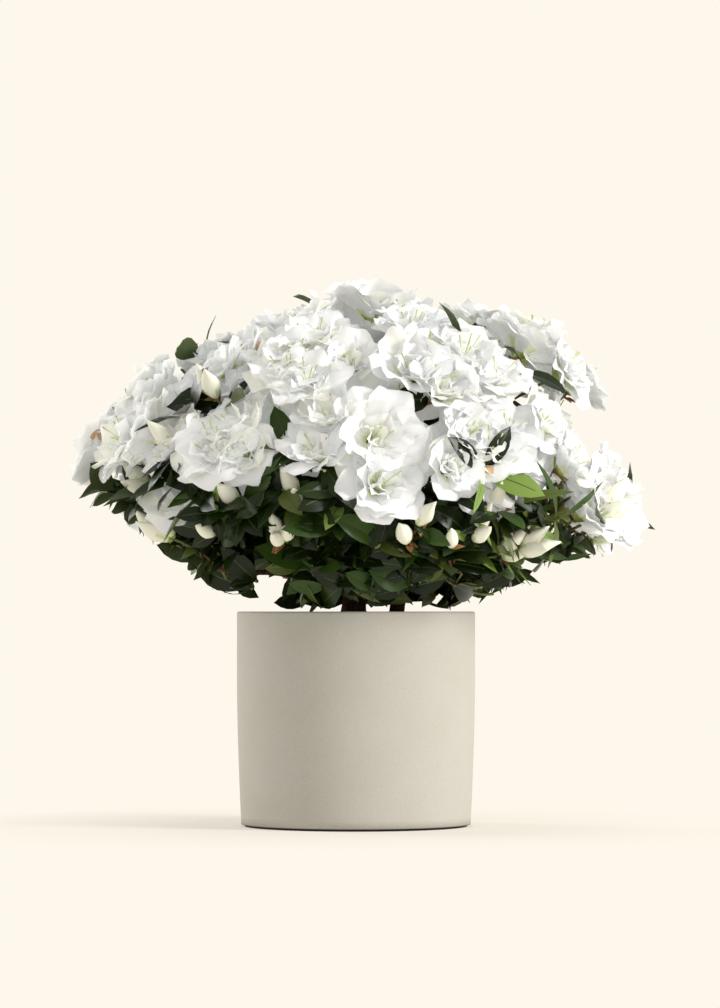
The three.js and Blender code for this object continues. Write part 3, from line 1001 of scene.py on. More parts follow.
class Piece:
    """One object joined from many small meshes, with a material slot for each of its finishes."""

    def __init__(self, name: str, finishes: Sequence["Finish"]) -> None:
        """Starts an empty piece with its finishes in the order of its slots."""
        self.name = name
        self.finishes = list(finishes)
        self.points: list[Array] = []
        self.rims: list[Array] = []
        self.faces: list[Array] = []
        self.slots: list[Array] = []
        self.count = 0

    def add(self, points: Array, template: Template, slots: Array) -> None:
        """Adds copies of one template.

        Args:
            points: their points, as copies by points by 3, in millimetres.
            template: the mesh that they are copies of.
            slots: the slot of each four-sided face, as copies by faces or as faces.
        """
        copies, per_copy, _ = points.shape
        offsets = (self.count + per_copy * np.arange(copies))[:, None, None]
        slots = np.broadcast_to(slots, (copies, len(template.faces)))
        self.points.append(points.reshape(-1, 3) * MM)
        self.rims.append(np.tile(template.rim, copies))
        self.faces.append((template.faces[None] + offsets).reshape(-1, 4))
        self.slots.append(slots.reshape(-1))
        if len(template.caps):
            self.faces.append((template.caps[None] + offsets).reshape(-1, template.caps.shape[1]))
            self.slots.append(slots[:, template.cap_neighbours].reshape(-1))
        self.count += copies * per_copy

    def build(self, slot: str, replaces: Iterable[str], smooth: bool = True) -> bpy.types.Object:
        """Makes the object, puts it on the part and hides the solids that it stands for.

        Args:
            slot: the name of one of the record's material slots; not used.
            replaces: the solids that it stands for.
            smooth: whether light runs smoothly over its faces.

        Returns:
            The new object, riding on the part.
        """
        points = np.concatenate(self.points)
        sides = np.concatenate([np.full(len(faces), faces.shape[1]) for faces in self.faces])
        corners = np.concatenate([faces.reshape(-1) for faces in self.faces])
        mesh = bpy.data.meshes.new(self.name)
        mesh.vertices.add(len(points))
        mesh.loops.add(len(corners))
        mesh.polygons.add(len(sides))
        mesh.vertices.foreach_set("co", points.astype(np.float32).reshape(-1))
        mesh.loops.foreach_set("vertex_index", corners.astype(np.int32))
        starts = np.concatenate([[0], np.cumsum(sides)[:-1]])
        mesh.polygons.foreach_set("loop_start", starts.astype(np.int32))
        for finish in self.finishes:
            mesh.materials.append(finish.material())
        mesh.polygons.foreach_set("material_index", np.concatenate(self.slots).astype(np.int32))
        mesh.polygons.foreach_set("use_smooth", np.full(len(sides), smooth))
        mesh.update(calc_edges=True)
        mesh.validate()
        ends = np.empty(2 * len(mesh.edges), np.int32)
        mesh.edges.foreach_get("vertices", ends)
        crisp = np.concatenate(self.rims)[ends.reshape(-1, 2)].all(1)
        mesh.attributes.new("sharp_edge", "BOOLEAN", "EDGE").data.foreach_set("value", crisp)
        made = settle(bpy.data.objects.new(self.name, mesh), replaces)
        LOG.info("%s: %d faces", self.name, len(sides))
        return made


def settle(obj: bpy.types.Object, nodes: Iterable[str]) -> bpy.types.Object:
    """Puts a finished object on the part, in place of its solids."""
    bpy.context.scene.collection.objects.link(obj)
    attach(obj, "root")
    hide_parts(*nodes)
    return obj


def foliage_nodes(masses: Iterable[Mass]) -> list[str]:
    """The names of the solids that several masses are."""
    return [f"foliage_{mass.name}" for mass in masses]


# ---------------------------------------------------------------- finishes


class Socket:
    """A shader value that Python's operators add maths nodes to."""

    def __init__(self, shader: "Shader", link: bpy.types.NodeSocket) -> None:
        """Wraps one output of a node."""
        self.shader = shader
        self.link = link

    def maths(self, operation: str, *values: "Socket | float") -> "Socket":
        """One Math node on this value and others."""
        return self.shader.node("ShaderNodeMath", {"operation": operation}, *values)

    def __add__(self, other: "Socket | float") -> "Socket":
        """This value plus another."""
        return self.maths("ADD", self, other)

    __radd__ = __add__

    def __mul__(self, other: "Socket | float") -> "Socket":
        """This value times another."""
        return self.maths("MULTIPLY", self, other)

    __rmul__ = __mul__

    def __sub__(self, other: "Socket | float") -> "Socket":
        """This value less another."""
        return self.maths("SUBTRACT", self, other)

    def __rsub__(self, other: float) -> "Socket":
        """Another value less this one."""
        return self.maths("SUBTRACT", other, self)

    def raised(self, power: float) -> "Socket":
        """This value raised to a power."""
        return self.maths("POWER", self, power)

    def clamped(self) -> "Socket":
        """This value held between 0 and 1."""
        return self.maths("MINIMUM", self.maths("MAXIMUM", self, 0.0), 1.0)


class Shader:
    """The node tree of one material."""

    def __init__(self, name: str) -> None:
        """Starts a material with a Principled shader and nothing linked."""
        self.material = bpy.data.materials.new(name)
        self.material.use_nodes = True
        self.tree = self.material.node_tree
        self.surface = self.tree.nodes["Principled BSDF"]

    def node(
        self, kind: str, settings: dict[str, object], *values: object, output: int | str = 0, **named: object
    ) -> Socket:
        """Adds any node.

        Args:
            kind: the node's type.
            settings: what is set on the node itself, first of all.
            values: values or links of its inputs, in order.
            output: which of its outputs is wanted.
            named: values or links of its inputs by name, with _ for a space.

        Returns:
            The wanted output.
        """
        made = self.tree.nodes.new(kind)
        for key, value in settings.items():
            if key == "stops":
                self.set_stops(made.color_ramp, value)
            else:
                setattr(made, key, value)
        inputs = list(enumerate(values)) + [(key.replace("_", " "), one) for key, one in named.items()]
        for key, value in inputs:
            if isinstance(value, Socket):
                self.tree.links.new(value.link, made.inputs[key])
            else:
                made.inputs[key].default_value = value
        return Socket(self, made.outputs[output])

    @staticmethod
    def set_stops(ramp: bpy.types.ColorRamp, stops: Stops) -> None:
        """Sets a ramp's stops from pairs of a place and a colour."""
        while len(ramp.elements) < len(stops):
            ramp.elements.new(1.0)
        for element, (place, colour) in zip(ramp.elements, stops):
            element.position = place
            element.color = (*colour, 1.0)

    def objects(self) -> Socket:
        """The place on the object, in metres."""
        return self.node("ShaderNodeTexCoord", {}, output="Object")

    def noise(self, scale: float, detail: float = 3, rough: float = 0.5, at: Socket | None = None) -> Socket:
        """Noise of a size, from 0 to 1."""
        place = at or self.objects()
        named = {"Vector": place, "Scale": scale, "Detail": detail, "Roughness": rough}
        return self.node("ShaderNodeTexNoise", {}, **named)

    def ramp(self, value: Socket, stops: Stops) -> Socket:
        """A colour for each value between 0 and 1."""
        return self.node("ShaderNodeValToRGB", {"stops": stops}, value)

    def mix(self, share: Socket | float, one: object, other: object) -> Socket:
        """A colour between two others."""
        made = self.tree.nodes.new("ShaderNodeMix")
        made.data_type = "RGBA"
        for key, value in ((0, share), (6, one), (7, other)):
            if isinstance(value, Socket):
                self.tree.links.new(value.link, made.inputs[key])
            else:
                made.inputs[key].default_value = value if key == 0 else (*value, 1.0)
        return Socket(self, made.outputs[2])

    def relief(self, height: Socket, distance: float, strength: float) -> Socket:
        """A bump from a height between 0 and 1.

        Args:
            height: the relief's height.
            distance: how deep it is, in metres.
            strength: how much of it shows.

        Returns:
            The bumped normal.
        """
        named = {"Strength": strength, "Distance": distance, "Height": height}
        return self.node("ShaderNodeBump", {}, **named)

    def set(self, **values: object) -> None:
        """Sets or links the surface's own sockets, by name with _ for a space."""
        for key, value in values.items():
            socket = self.surface.inputs[key.replace("_", " ")]
            if isinstance(value, Socket):
                self.tree.links.new(value.link, socket)
            else:
                tinted = socket.type == "RGBA"
                socket.default_value = (*value, 1.0) if tinted else value


class Finish:
    """A finish that a piece may wear."""

    name: str

    def material(self) -> bpy.types.Material:
        """The finish's material, made once."""
        return bpy.data.materials.get(self.name) or self.make()

    def make(self) -> bpy.types.Material:
        """Builds the material."""
        raise NotImplementedError


@dataclass(frozen=True)
class PlainFinish(Finish):
    """One of the even tints that are dealt out over leaves, petals and twigs."""

    name: str
    colour: Colour
    roughness: float
    specular: float
    glow: float = 0.0
    # Emission strength: a painted glow on petals, for the light they let through and to lift their shade.
    lit: float = 0.0
    depth: float = 0.6 * MM
    spread: Colour = (1.0, 1.0, 0.9)

    def make(self) -> bpy.types.Material:
        """A shader with nothing linked; its subsurface glow lets light through petals, and its emission is a
        painted glow that stands for that light and lifts their shade.
        """
        shader = Shader(self.name)
        shader.set(Base_Color=self.colour, Roughness=self.roughness, Specular_IOR_Level=self.specular)
        if self.glow:
            shader.set(Subsurface_Weight=self.glow, Subsurface_Scale=self.depth)
            shader.set(Subsurface_Radius=self.spread)
        # Emission paints a glow on the petals that lifts their shade.
        if self.lit:
            shader.set(Emission_Color=self.colour, Emission_Strength=self.lit)
        return shader.material


@dataclass(frozen=True)
class StonewareFinish(Finish):
    """Matte stoneware with fine grit, a little cloudiness and painted shade at its foot; its noise sizes
    count features to a metre.
    """

    name: str = "matte_stoneware"
    light: Colour = (0.510, 0.489, 0.436)
    dark: Colour = (0.495, 0.470, 0.412)
    speck: Colour = (0.34, 0.32, 0.28)
    pale_speck: Colour = (0.70, 0.67, 0.60)
    # The foot colour is near-black painted shade under the wall, where the pot meets the floor.
    foot: Colour = (0.03, 0.028, 0.025)
    foot_height: float = 1.4 * MM
    foot_blur: float = 0.8 * MM
    cloud_size: float = 22
    grit_size: float = 1500
    speck_size: float = 900
    relief: float = 0.25 * MM

    def make(self) -> bpy.types.Material:
        """Cloudy clay with a fine grit that also roughens it, and painted shade, near black, on the foot
        under the wall.
        """
        shader = Shader(self.name)
        cloud = shader.noise(self.cloud_size, 4, 0.55)
        grit = shader.noise(self.grit_size, 2, 0.6)
        specks = shader.noise(self.speck_size, 1, 0.4)
        ground = shader.ramp(cloud, [(0.35, self.dark), (0.65, self.light)])
        fine = shader.mix(((grit - 0.5) * 1.8).clamped() * 0.55, ground, self.speck)
        worn = shader.mix(((specks - 0.62) * 7.0).clamped() * 0.3, fine, self.speck)
        mottled = shader.mix(((0.36 - specks) * 7.0).clamped() * 0.3, worn, self.pale_speck)
        # Below the foot height the clay is painted near black as shade under the wall.
        height = shader.node("ShaderNodeSeparateXYZ", {}, shader.objects(), output="Z")
        above_painted_shade = (height * (1 / self.foot_blur) - self.foot_height / self.foot_blur).clamped()
        with_painted_shade = shader.mix(above_painted_shade, self.foot, mottled)
        normal = shader.relief(grit * 0.7 + specks * 0.6, self.relief, 0.55)
        shader.set(Base_Color=with_painted_shade, Roughness=0.8 + grit * 0.15, Specular_IOR_Level=0.3, Normal=normal)
        return shader.material


@dataclass(frozen=True)
class CompostFinish(Finish):
    """Dark moist potting compost with lighter fibres."""

    name: str = "potting_compost"
    tones: Stops = (
        (0.3, (0.008, 0.006, 0.004)),
        (0.55, (0.030, 0.019, 0.011)),
        (0.75, (0.075, 0.046, 0.025)),
    )
    fibre: Colour = (0.13, 0.085, 0.05)
    crumb_size: float = 260
    fibre_size: float = 700
    relief: float = 1.5 * MM

    def make(self) -> bpy.types.Material:
        """Dark crumbs with brown fibre among them."""
        shader = Shader(self.name)
        crumbs = shader.noise(self.crumb_size, 5, 0.7)
        fibre = shader.noise(self.fibre_size, 2, 0.5)
        ground = shader.ramp(crumbs, self.tones)
        colour = shader.mix(((fibre - 0.6) * 5.0).clamped(), ground, self.fibre)
        normal = shader.relief(crumbs + fibre * 0.4, self.relief, 0.9)
        shader.set(Base_Color=colour, Roughness=0.85 + crumbs * 0.12, Specular_IOR_Level=0.2, Normal=normal)
        return shader.material


@dataclass(frozen=True)
class BarkFinish(Finish):
    """Reddish-brown bark that peels in fine upright fibres."""

    name: str = "fibrous_bark"
    tones: Stops = (
        (0.25, (0.018, 0.009, 0.006)),
        (0.45, (0.060, 0.029, 0.018)),
        (0.62, (0.125, 0.066, 0.042)),
        (0.82, (0.235, 0.150, 0.100)),
    )
    moss: Colour = (0.060, 0.065, 0.025)
    drawn_out: Colour = (1.0, 1.0, 0.16)
    fibre_size: float = 520
    flake_size: float = 150
    moss_size: float = 60
    relief: float = 1.2 * MM

    def make(self) -> bpy.types.Material:
        """Fibres drawn out along the height, with pale flakes on their ridges."""
        shader = Shader(self.name)
        tall = shader.node("ShaderNodeMapping", {}, Vector=shader.objects(), Scale=self.drawn_out)
        fibres = shader.noise(self.fibre_size, 5, 0.65, tall)
        flakes = shader.noise(self.flake_size, 4, 0.6, tall)
        colour = shader.ramp(fibres * 0.6 + flakes * 0.4, self.tones)
        mossy = shader.noise(self.moss_size, 3, 0.5)
        tinted = shader.mix(((mossy - 0.58) * 4.0).clamped() * 0.45, colour, self.moss)
        normal = shader.relief(fibres * 0.7 + flakes * 0.6, self.relief, 0.9)
        shader.set(Base_Color=tinted, Roughness=0.75 + fibres * 0.2, Specular_IOR_Level=0.25, Normal=normal)
        return shader.material


@dataclass(frozen=True)
class StudioFinish(Finish):
    """A pale seamless backdrop that keeps its own tone and takes a faint shadow near the part.

    Attributes:
        name: the material's name.
        tone: its colour in the open.
        shaded: the share of the tone that answers to the lamps near the part.
        floor_light: the share of the tone that is its own light there.
        near: how far out that holds in full, in metres.
        far: where it ends.
    """

    name: str = "seamless_backdrop"
    tone: Colour = (0.991, 0.939, 0.838)
    shaded: float = 0.5
    floor_light: float = 0.39
    near: float = 0.12
    far: float = 0.34

    def make(self) -> bpy.types.Material:
        """Its own light alone far off; near the part, a share of it comes from the lamps."""
        shader = Shader(self.name)
        place = shader.objects()
        x = shader.node("ShaderNodeSeparateXYZ", {}, place, output="X")
        y = shader.node("ShaderNodeSeparateXYZ", {}, place, output="Y")
        away = (x * x + y * y).raised(0.5)
        close = ((self.far - away) * (1 / (self.far - self.near))).clamped()
        own = tuple(channel * self.floor_light for channel in self.tone)
        answering = tuple(channel * self.shaded for channel in self.tone)
        shader.set(Base_Color=shader.mix(close, (0.0, 0.0, 0.0), answering))
        shader.set(Roughness=1.0, Specular_IOR_Level=0.0)
        shader.set(Emission_Color=shader.mix(close, self.tone, own), Emission_Strength=1.0)
        return shader.material


class PetalSlot(IntEnum):
    """The slots of the blossom's finishes that follow its three whites."""

    FOLD = 3
    THROAT = 4
    SPOT = 5


class LeafSlot(IntEnum):
    """The slots of the leaves' finishes that follow their five greens."""

    UNDERSIDE = 5
    RIB = 6


class WoodSlot(IntEnum):
    """The slots of the twigs' finishes."""

    BROWN = 0
    OLIVE = 1
    GREEN = 2


class BudSlot(IntEnum):
    """The slots of the finishes of buds, scales and pistils."""

    CREAM = 0
    LIME = 1
    BASE = 2
    PAPERY = 3
    DRY = 4
    PISTIL = 5


# The petals' emission is a painted glow, for the light they let through and to lift their shade.
PETALS = [
    PlainFinish("petal_white", (0.875, 0.88, 0.87), 0.85, 0.12, glow=0.5, lit=0.09),
    PlainFinish("petal_cool", (0.84, 0.855, 0.86), 0.85, 0.12, glow=0.5, lit=0.09),
    PlainFinish("petal_cream", (0.88, 0.88, 0.80), 0.85, 0.12, glow=0.5, lit=0.09),
    PlainFinish("petal_fold", (0.83, 0.87, 0.62), 0.7, 0.2, glow=0.3, lit=0.04),
    PlainFinish("petal_throat", (0.60, 0.68, 0.22), 0.6, 0.3),
    PlainFinish("petal_spot", (0.78, 0.50, 0.30), 0.6, 0.3),
]
LEAVES = [
    PlainFinish("leaf_dark", (0.007, 0.015, 0.002), 0.30, 0.24),
    PlainFinish("leaf_deep", (0.012, 0.027, 0.003), 0.32, 0.24),
    PlainFinish("leaf_green", (0.032, 0.070, 0.008), 0.38, 0.28),
    PlainFinish("leaf_olive", (0.080, 0.108, 0.016), 0.42, 0.28),
    PlainFinish("leaf_bright", (0.180, 0.280, 0.050), 0.45, 0.4),
    PlainFinish("leaf_underside", (0.055, 0.080, 0.026), 0.65, 0.2),
    PlainFinish("leaf_rib", (0.050, 0.082, 0.018), 0.45, 0.3),
]
WOODS = [
    PlainFinish("twig_brown", (0.085, 0.045, 0.026), 0.7, 0.3),
    PlainFinish("twig_olive", (0.120, 0.130, 0.045), 0.6, 0.35),
    PlainFinish("twig_green", (0.160, 0.230, 0.060), 0.55, 0.4),
]
BUDS = [
    PlainFinish("bud_cream", (0.86, 0.86, 0.72), 0.5, 0.4, glow=0.2),
    PlainFinish("bud_lime", (0.66, 0.73, 0.42), 0.5, 0.4, glow=0.1),
    PlainFinish("bud_base", (0.26, 0.36, 0.11), 0.5, 0.4),
    PlainFinish("scale_papery", (0.42, 0.22, 0.075), 0.55, 0.4),
    PlainFinish("scale_brown", (0.20, 0.085, 0.035), 0.6, 0.35),
    PlainFinish("pistil_lime", (0.55, 0.64, 0.20), 0.5, 0.4),
]


# ---------------------------------------------------------------- the pot and its soil


def spun(section: Section, sides: int) -> bmesh.types.BMesh:
    """A closed shape spun from a section that starts and ends on the axis.

    Args:
        section: distances from the axis and heights, in millimetres.
        sides: how many faces go round.

    Returns:
        The new mesh, in metres, its faces turned outwards.
    """
    mesh = bmesh.new()
    verts = [mesh.verts.new((x * MM, 0, z * MM)) for x, z in section]
    edges = [mesh.edges.new(pair) for pair in zip(verts, verts[1:])]
    bmesh.ops.spin(
        mesh,
        geom=verts + edges,
        cent=(0, 0, 0),
        axis=(0, 0, 1),
        angle=TAU,
        steps=sides,
        use_merge=True,
        use_duplicate=False,
    )
    bmesh.ops.remove_doubles(mesh, verts=mesh.verts, dist=1e-6)
    bmesh.ops.recalc_face_normals(mesh, faces=mesh.faces)
    return mesh


def finished(mesh: bmesh.types.BMesh, name: str, finish: Finish, smooth: bool = True) -> bpy.types.Object:
    """An object in one finish from a mesh that is done with."""
    for face in mesh.faces:
        face.smooth = smooth
    made = bpy.data.meshes.new(name)
    mesh.to_mesh(made)
    mesh.free()
    made.materials.append(finish.material())
    LOG.info("%s: %d faces", name, len(made.polygons))
    return bpy.data.objects.new(name, made)


@dataclass
class Pot:
    """The straight-sided pot."""

    size: PotSize = POT
    sides: int = 160
    outer_rings: int = 26
    inner_rings: int = 14
    corner: float = 3
    lip_steps: int = 4
    finish: Finish = field(default_factory=StonewareFinish)

    def profile(self) -> Section:
        """The wall's section from the middle of the foot, up outside and down inside."""
        size = self.size
        foot = size.wall_radius(0) - size.foot_inset
        rim, wall, height = size.rim_radius, size.wall, size.height
        outside = np.linspace(size.foot_height, height - self.corner, self.outer_rings)
        inside = np.linspace(height - self.corner, size.floor + self.corner, self.inner_rings)
        return [
            (0, 0),
            (foot * 0.5, 0),
            (foot, 0),
            (foot, size.foot_height),
            *[(size.wall_radius(level), level) for level in outside],
            (rim, height),
            (rim - wall, height),
            *[(size.wall_radius(level) - wall, level) for level in inside],
            (size.wall_radius(size.floor) - wall, size.floor),
            (0, size.floor),
        ]

    def build(self) -> bpy.types.Object:
        """Spins the section round, rounds the rim's corners and gives it its stoneware."""
        mesh = spun(self.profile(), self.sides)
        bmesh.ops.bevel(
            mesh,
            geom=[edge for edge in mesh.edges if self.is_rim_corner(edge)],
            offset=self.size.lip * MM,
            segments=self.lip_steps,
            profile=0.5,
            affect="EDGES",
            material=-1,
        )
        return settle(finished(mesh, "pot_stoneware", self.finish), ["pot"])

    def is_rim_corner(self, edge: bmesh.types.BMEdge) -> bool:
        """Whether an edge is part of one of the rim's two corners."""
        at_rim = all(vert.co.z > (self.size.height - 0.5) * MM for vert in edge.verts)
        runs_round = abs(edge.verts[0].co.xy.length - edge.verts[1].co.xy.length) < 1e-6
        return at_rim and runs_round and len(edge.link_faces) == 2


@dataclass
class Soil:
    """The potting compost."""

    size: SoilSize = SOIL
    sides: int = 96
    rings: int = 34
    surface_from: float = 100
    edge: float = 1.5
    roughness: float = 1.6
    pressed: float = 0.6
    finish: Finish = field(default_factory=CompostFinish)

    @property
    def radius(self) -> float:
        """How far it reaches at the top."""
        return POT.rim_radius - POT.wall - GAP

    def level(self, radius: float) -> float:
        """The height of the surface at a distance from the middle."""
        out = max(0.0, (radius - self.size.flat_radius) / (self.radius - self.size.flat_radius))
        return GROUND - self.size.dip * out**self.size.dip_curve

    def build(self) -> bpy.types.Object:
        """Spins the surface with its closed underside and roughens it with crumbs."""
        under = self.size.underside
        section = [(radius, self.level(radius)) for radius in np.linspace(0, self.radius, self.rings)]
        section += [(POT.wall_radius(under) - POT.wall - GAP, under), (0.0, under)]
        mesh = spun(section, self.sides)
        for vert in mesh.verts:
            place = vert.co / MM
            if place.z > self.surface_from and place.xy.length < self.radius - self.edge:
                lumps = noise.noise(place * 0.09) * 1.5 + noise.noise(place * 0.35) * 0.9
                vert.co.z += lumps * self.roughness * MM - self.pressed * MM
        return settle(finished(mesh, "potting_soil", self.finish, smooth=False), ["soil"])


# ---------------------------------------------------------------- wood


@dataclass
class Wood:
    """The stems and boughs in bark, and the twigs that carry leaves and heads."""

    crown: Crown
    stem_sides: int = 56
    stem_steps: int = 96
    bough_sides: int = 18
    bough_steps: int = 40
    twig_sides: int = 5
    twig_steps: int = 9
    relief: float = 0.085
    knot: float = 0.09
    knot_size: float = 0.11
    ridges: int = 9
    wander: float = 5
    twist: float = 3
    grain: tuple[float, float, float] = (0.9, 0.9, 0.13)
    collar: float = 0.55
    collar_fade: float = 16
    green_share: float = 0.6

    def limb(
        self, curve: Bezier, radius: Callable[[float], float], template: Template, relief: float
    ) -> Array:
        """A tube along a curve whose bark stands in ridges.

        Args:
            curve: the limb's line.
            radius: its girth for each share of its length.
            template: the tube to lay along it.
            relief: how deep the ridges are, as a share of the girth.

        Returns:
            The tube's points.
        """
        levels = np.unique(np.round(template.points[:, 2], 6))
        frames = stations(curve, [float(level) for level in levels])
        where = np.searchsorted(levels, np.round(template.points[:, 2], 6))
        points = np.empty((len(template.points), 3))
        for i, (x, y, _) in enumerate(template.points):
            station, share = frames[where[i]], float(levels[where[i]])
            turn = math.atan2(y, x)
            girth = radius(share)
            if relief:
                place = Vector(station.middle + station.way_out(turn) * girth)
                fine = noise.noise(Vector([value * grain for value, grain in zip(place, self.grain)]))
                broad = noise.noise(place * self.knot_size)
                ridges = math.sin(turn * self.ridges + self.wander * broad + share * self.twist)
                girth *= 1 + relief * (0.55 * ridges + 1.1 * fine) + self.knot * broad
            points[i] = station.middle + station.way_out(turn) * girth
        return points

    def build(self) -> None:
        """Builds the bark piece and the twigs."""
        self.build_bark()
        self.build_twigs()

    def build_bark(self) -> bpy.types.Object:
        """Builds the stems and boughs as one piece."""
        crown = self.crown
        bark = Piece("bark_stems_and_boughs", [BarkFinish()])
        stem = Template.tube(self.stem_sides, self.stem_steps)
        for size in (TRUNK, SECOND_STEM):
            points = self.limb(crown.stems[size.name], size.radius, stem, self.relief)
            bark.add(points[None], stem, np.zeros(1))
        bough = Template.tube(self.bough_sides, self.bough_steps)
        for curve in crown.boughs.values():
            points = self.limb(curve, self.bough_radius, bough, self.relief)
            bark.add(points[None], bough, np.zeros(1))
        return bark.build("bark", [*crown.stems, *[f"bough_{name}" for name in crown.boughs]])

    def build_twigs(self) -> bpy.types.Object:
        """Builds the masses' own stems and every shoot's twig as one piece."""
        crown = self.crown
        twigs = Piece("leafy_twigs", WOODS)
        template = Template.tube(self.twig_sides, self.twig_steps)
        for curve in crown.hearts.values():
            twigs.add(self.limb(curve, HEART.radius, template, 0)[None], template, np.zeros(1))
        chance = np.random.default_rng(SEED)
        rise = template.middles[:, 2]
        green = np.where(rise > 0.75, WoodSlot.GREEN, WoodSlot.OLIVE)
        brown = np.where(rise > 0.6, WoodSlot.OLIVE, WoodSlot.BROWN)
        for shoot in crown.shoots:
            points = self.limb(shoot.curve, TWIG.radius, template, 0)
            twigs.add(points[None], template, green if chance.random() < self.green_share else brown)
        return twigs.build("bark", foliage_nodes(crown.masses))

    def bough_radius(self, t: float) -> float:
        """A bough's girth with the collar where it leaves its stem."""
        return BOUGH.radius(t) * (1 + self.collar * math.exp(-t * self.collar_fade))


# ---------------------------------------------------------------- leaves


def lower_skin(depths: Array, thickness: float) -> Array:
    """How far each point of a blade lies under its upper skin."""
    return np.where(depths < -0.5, -thickness, 0.0)


@dataclass
class Blades:
    """Many thin sheets of one kind, worked out together."""

    feet: Array
    headings: Array
    faces: Array
    lengths: Array
    widths: Array

    def sides(self) -> Array:
        """The way from side to side of each."""
        return unit(np.cross(self.headings, self.faces))

    def placed(self, across: Array, along: Array, through: Array) -> Array:
        """Points at distances across, along and through each sheet."""
        side = self.sides()
        up = np.cross(side, self.headings)
        return (
            self.feet[:, None]
            + across[..., None] * side[:, None]
            + along[..., None] * self.headings[:, None]
            + through[..., None] * up[:, None]
        )


@dataclass(frozen=True)
class LeafForm:
    """How a leaf lies, in shares of its length or width, with ranges and spreads where leaves differ."""

    fullness: float = 1.06
    stalk: float = 0.07
    stalk_width: float = 0.06
    curl: tuple[float, float] = (0.16, 0.09)
    fold: tuple[float, float] = (0.10, 0.42)
    roll: tuple[float, float] = (0, 0.22)
    camber: tuple[float, float] = (0.14, 0.06)
    ruffle: float = 0.05
    arch: float = 0.10
    rib_from: tuple[float, ...] = (0, 0.2, 0.6, 1)
    rib_to: tuple[float, ...] = (0, 0.045, 0.55, 1)


@dataclass(frozen=True)
class NarrowLeaf:
    """The young, narrow and bright leaves, of which there are more towards +X."""

    right_of: float = 70
    share_right: float = 0.34
    share_left: float = 0.06
    width: float = 0.42
    length: float = 1.25
    greens: tuple[int, ...] = (2, 3, 4)
    shares: tuple[float, ...] = (0.4, 0.35, 0.25)


@dataclass
class Foliage:
    """All the leaves, glossy above, paler below, with a ribbed middle."""

    crown: Crown
    template: Template = field(default_factory=lambda: Template.blade(6, 5))
    form: LeafForm = LeafForm()
    narrow: NarrowLeaf = NarrowLeaf()
    thickness: float = 0.45
    tints: tuple[float, ...] = (0.44, 0.30, 0.15, 0.08, 0.03)

    def outline(self, share: Array) -> Array:
        """Half the blade's width at shares of its length: widest past the middle, pointed at both ends."""
        stalk, least = self.form.stalk, self.form.stalk_width
        body = np.clip((share - stalk) / (1 - stalk), 0, 1)
        return np.where(share < stalk, least, least * (1 - body) + np.sin(np.pi * body**1.05) ** 0.72 * 0.97)

    def build(self) -> None:
        """Lays every leaf, in one piece for each part of the crown."""
        chance = np.random.default_rng(SEED + 1)
        for part, masses in parts_of(self.crown.masses).items():
            seats = [seat for shoot in self.crown.shoots if shoot.mass in masses for seat in shoot.leaves]
            piece = Piece(f"glossy_leaves_{part.value}", LEAVES)
            piece.add(*self.laid(seats, chance))
            piece.build("leaves", foliage_nodes(masses))

    def laid(self, seats: Sequence[LeafSeat], chance: np.random.Generator) -> tuple[Array, Template, Array]:
        """Works out several leaves.

        Args:
            seats: where they sit and how large they are.
            chance: where their variety comes from.

        Returns:
            Their points, their template and each face's slot.
        """
        form, one_each = self.form, (len(seats), 1)
        blades = Blades(
            np.array([seat.foot for seat in seats]),
            np.array([seat.heading for seat in seats]),
            np.array([seat.face for seat in seats]),
            np.array([seat.length for seat in seats]),
            np.array([seat.width for seat in seats]),
        )
        narrow = self.narrowed(blades, chance)
        x, y, z = self.template.points.T
        rib = np.sign(x) * np.interp(np.abs(x), form.rib_from, form.rib_to)
        length, width = blades.lengths[:, None], blades.widths[:, None]
        half = self.outline(y)[None] * width / 2
        wave = chance.uniform(0, TAU, one_each)
        curl = chance.normal(*form.curl, one_each)
        fold = chance.uniform(*form.fold, one_each)
        roll = chance.normal(*form.roll, one_each)
        across = half * rib[None]
        along = length * (y[None] - 0.02 * rib[None] ** 2)
        lift = fold * np.abs(across) + form.ruffle * half * np.sin(9 * y[None] + wave) * np.abs(rib[None])
        camber = chance.normal(*form.camber, one_each) * half * rib[None] ** 2
        through = lift - camber - curl * length * y[None] ** 2.2 + roll * across
        through = through + form.arch * length * np.sin(np.pi * y[None]) * 0.6
        points = blades.placed(across, along, through + lower_skin(z, self.thickness)[None])
        return points, self.template, self.slots(chance, narrow)

    def narrowed(self, blades: Blades, chance: np.random.Generator) -> Array:
        """Draws some leaves out narrow and long, and says which."""
        kind = self.narrow
        share = np.where(blades.feet[:, 0] > kind.right_of, kind.share_right, kind.share_left)
        is_narrow = chance.random(len(share)) < share
        full = blades.widths * self.form.fullness
        blades.widths = np.where(is_narrow, full * kind.width, full)
        blades.lengths = np.where(is_narrow, blades.lengths * kind.length, blades.lengths)
        return is_narrow

    def slots(self, chance: np.random.Generator, narrow: Array) -> Array:
        """Each face's slot: the leaf's tint, the paler underside or the rib.

        Args:
            chance: where the tints' variety comes from.
            narrow: which leaves are narrow, and so young and bright.

        Returns:
            The slots, as leaves by faces.
        """
        middles = self.template.middles
        tint = chance.choice(len(self.tints), len(narrow), p=self.tints)
        young = chance.choice(self.narrow.greens, len(narrow), p=self.narrow.shares)
        slots = np.repeat(np.where(narrow, young, tint)[:, None], len(middles), axis=1)
        is_rib = (np.abs(middles[:, 0]) < 0.1) & (middles[:, 1] < 0.85)
        slots[:, is_rib] = LeafSlot.RIB
        slots[:, middles[:, 2] < -0.4] = LeafSlot.UNDERSIDE
        return slots


# ---------------------------------------------------------------- blossom


@dataclass(frozen=True)
class PetalRow:
    """One round of petals.

    Attributes:
        count: how many petals stand in it, at least.
        length: their length.
        width: their width.
        rise: how far they lean out at the foot, in degrees from the bloom's axis.
        open: how far at the tip.
        ruffle: how deep their waves are.
        cup: how much their edges curl up, as a share of half the width.
        foot: how far from the axis they start.
    """

    count: int
    length: float
    width: float
    rise: float
    open: float
    ruffle: float
    cup: float
    foot: float


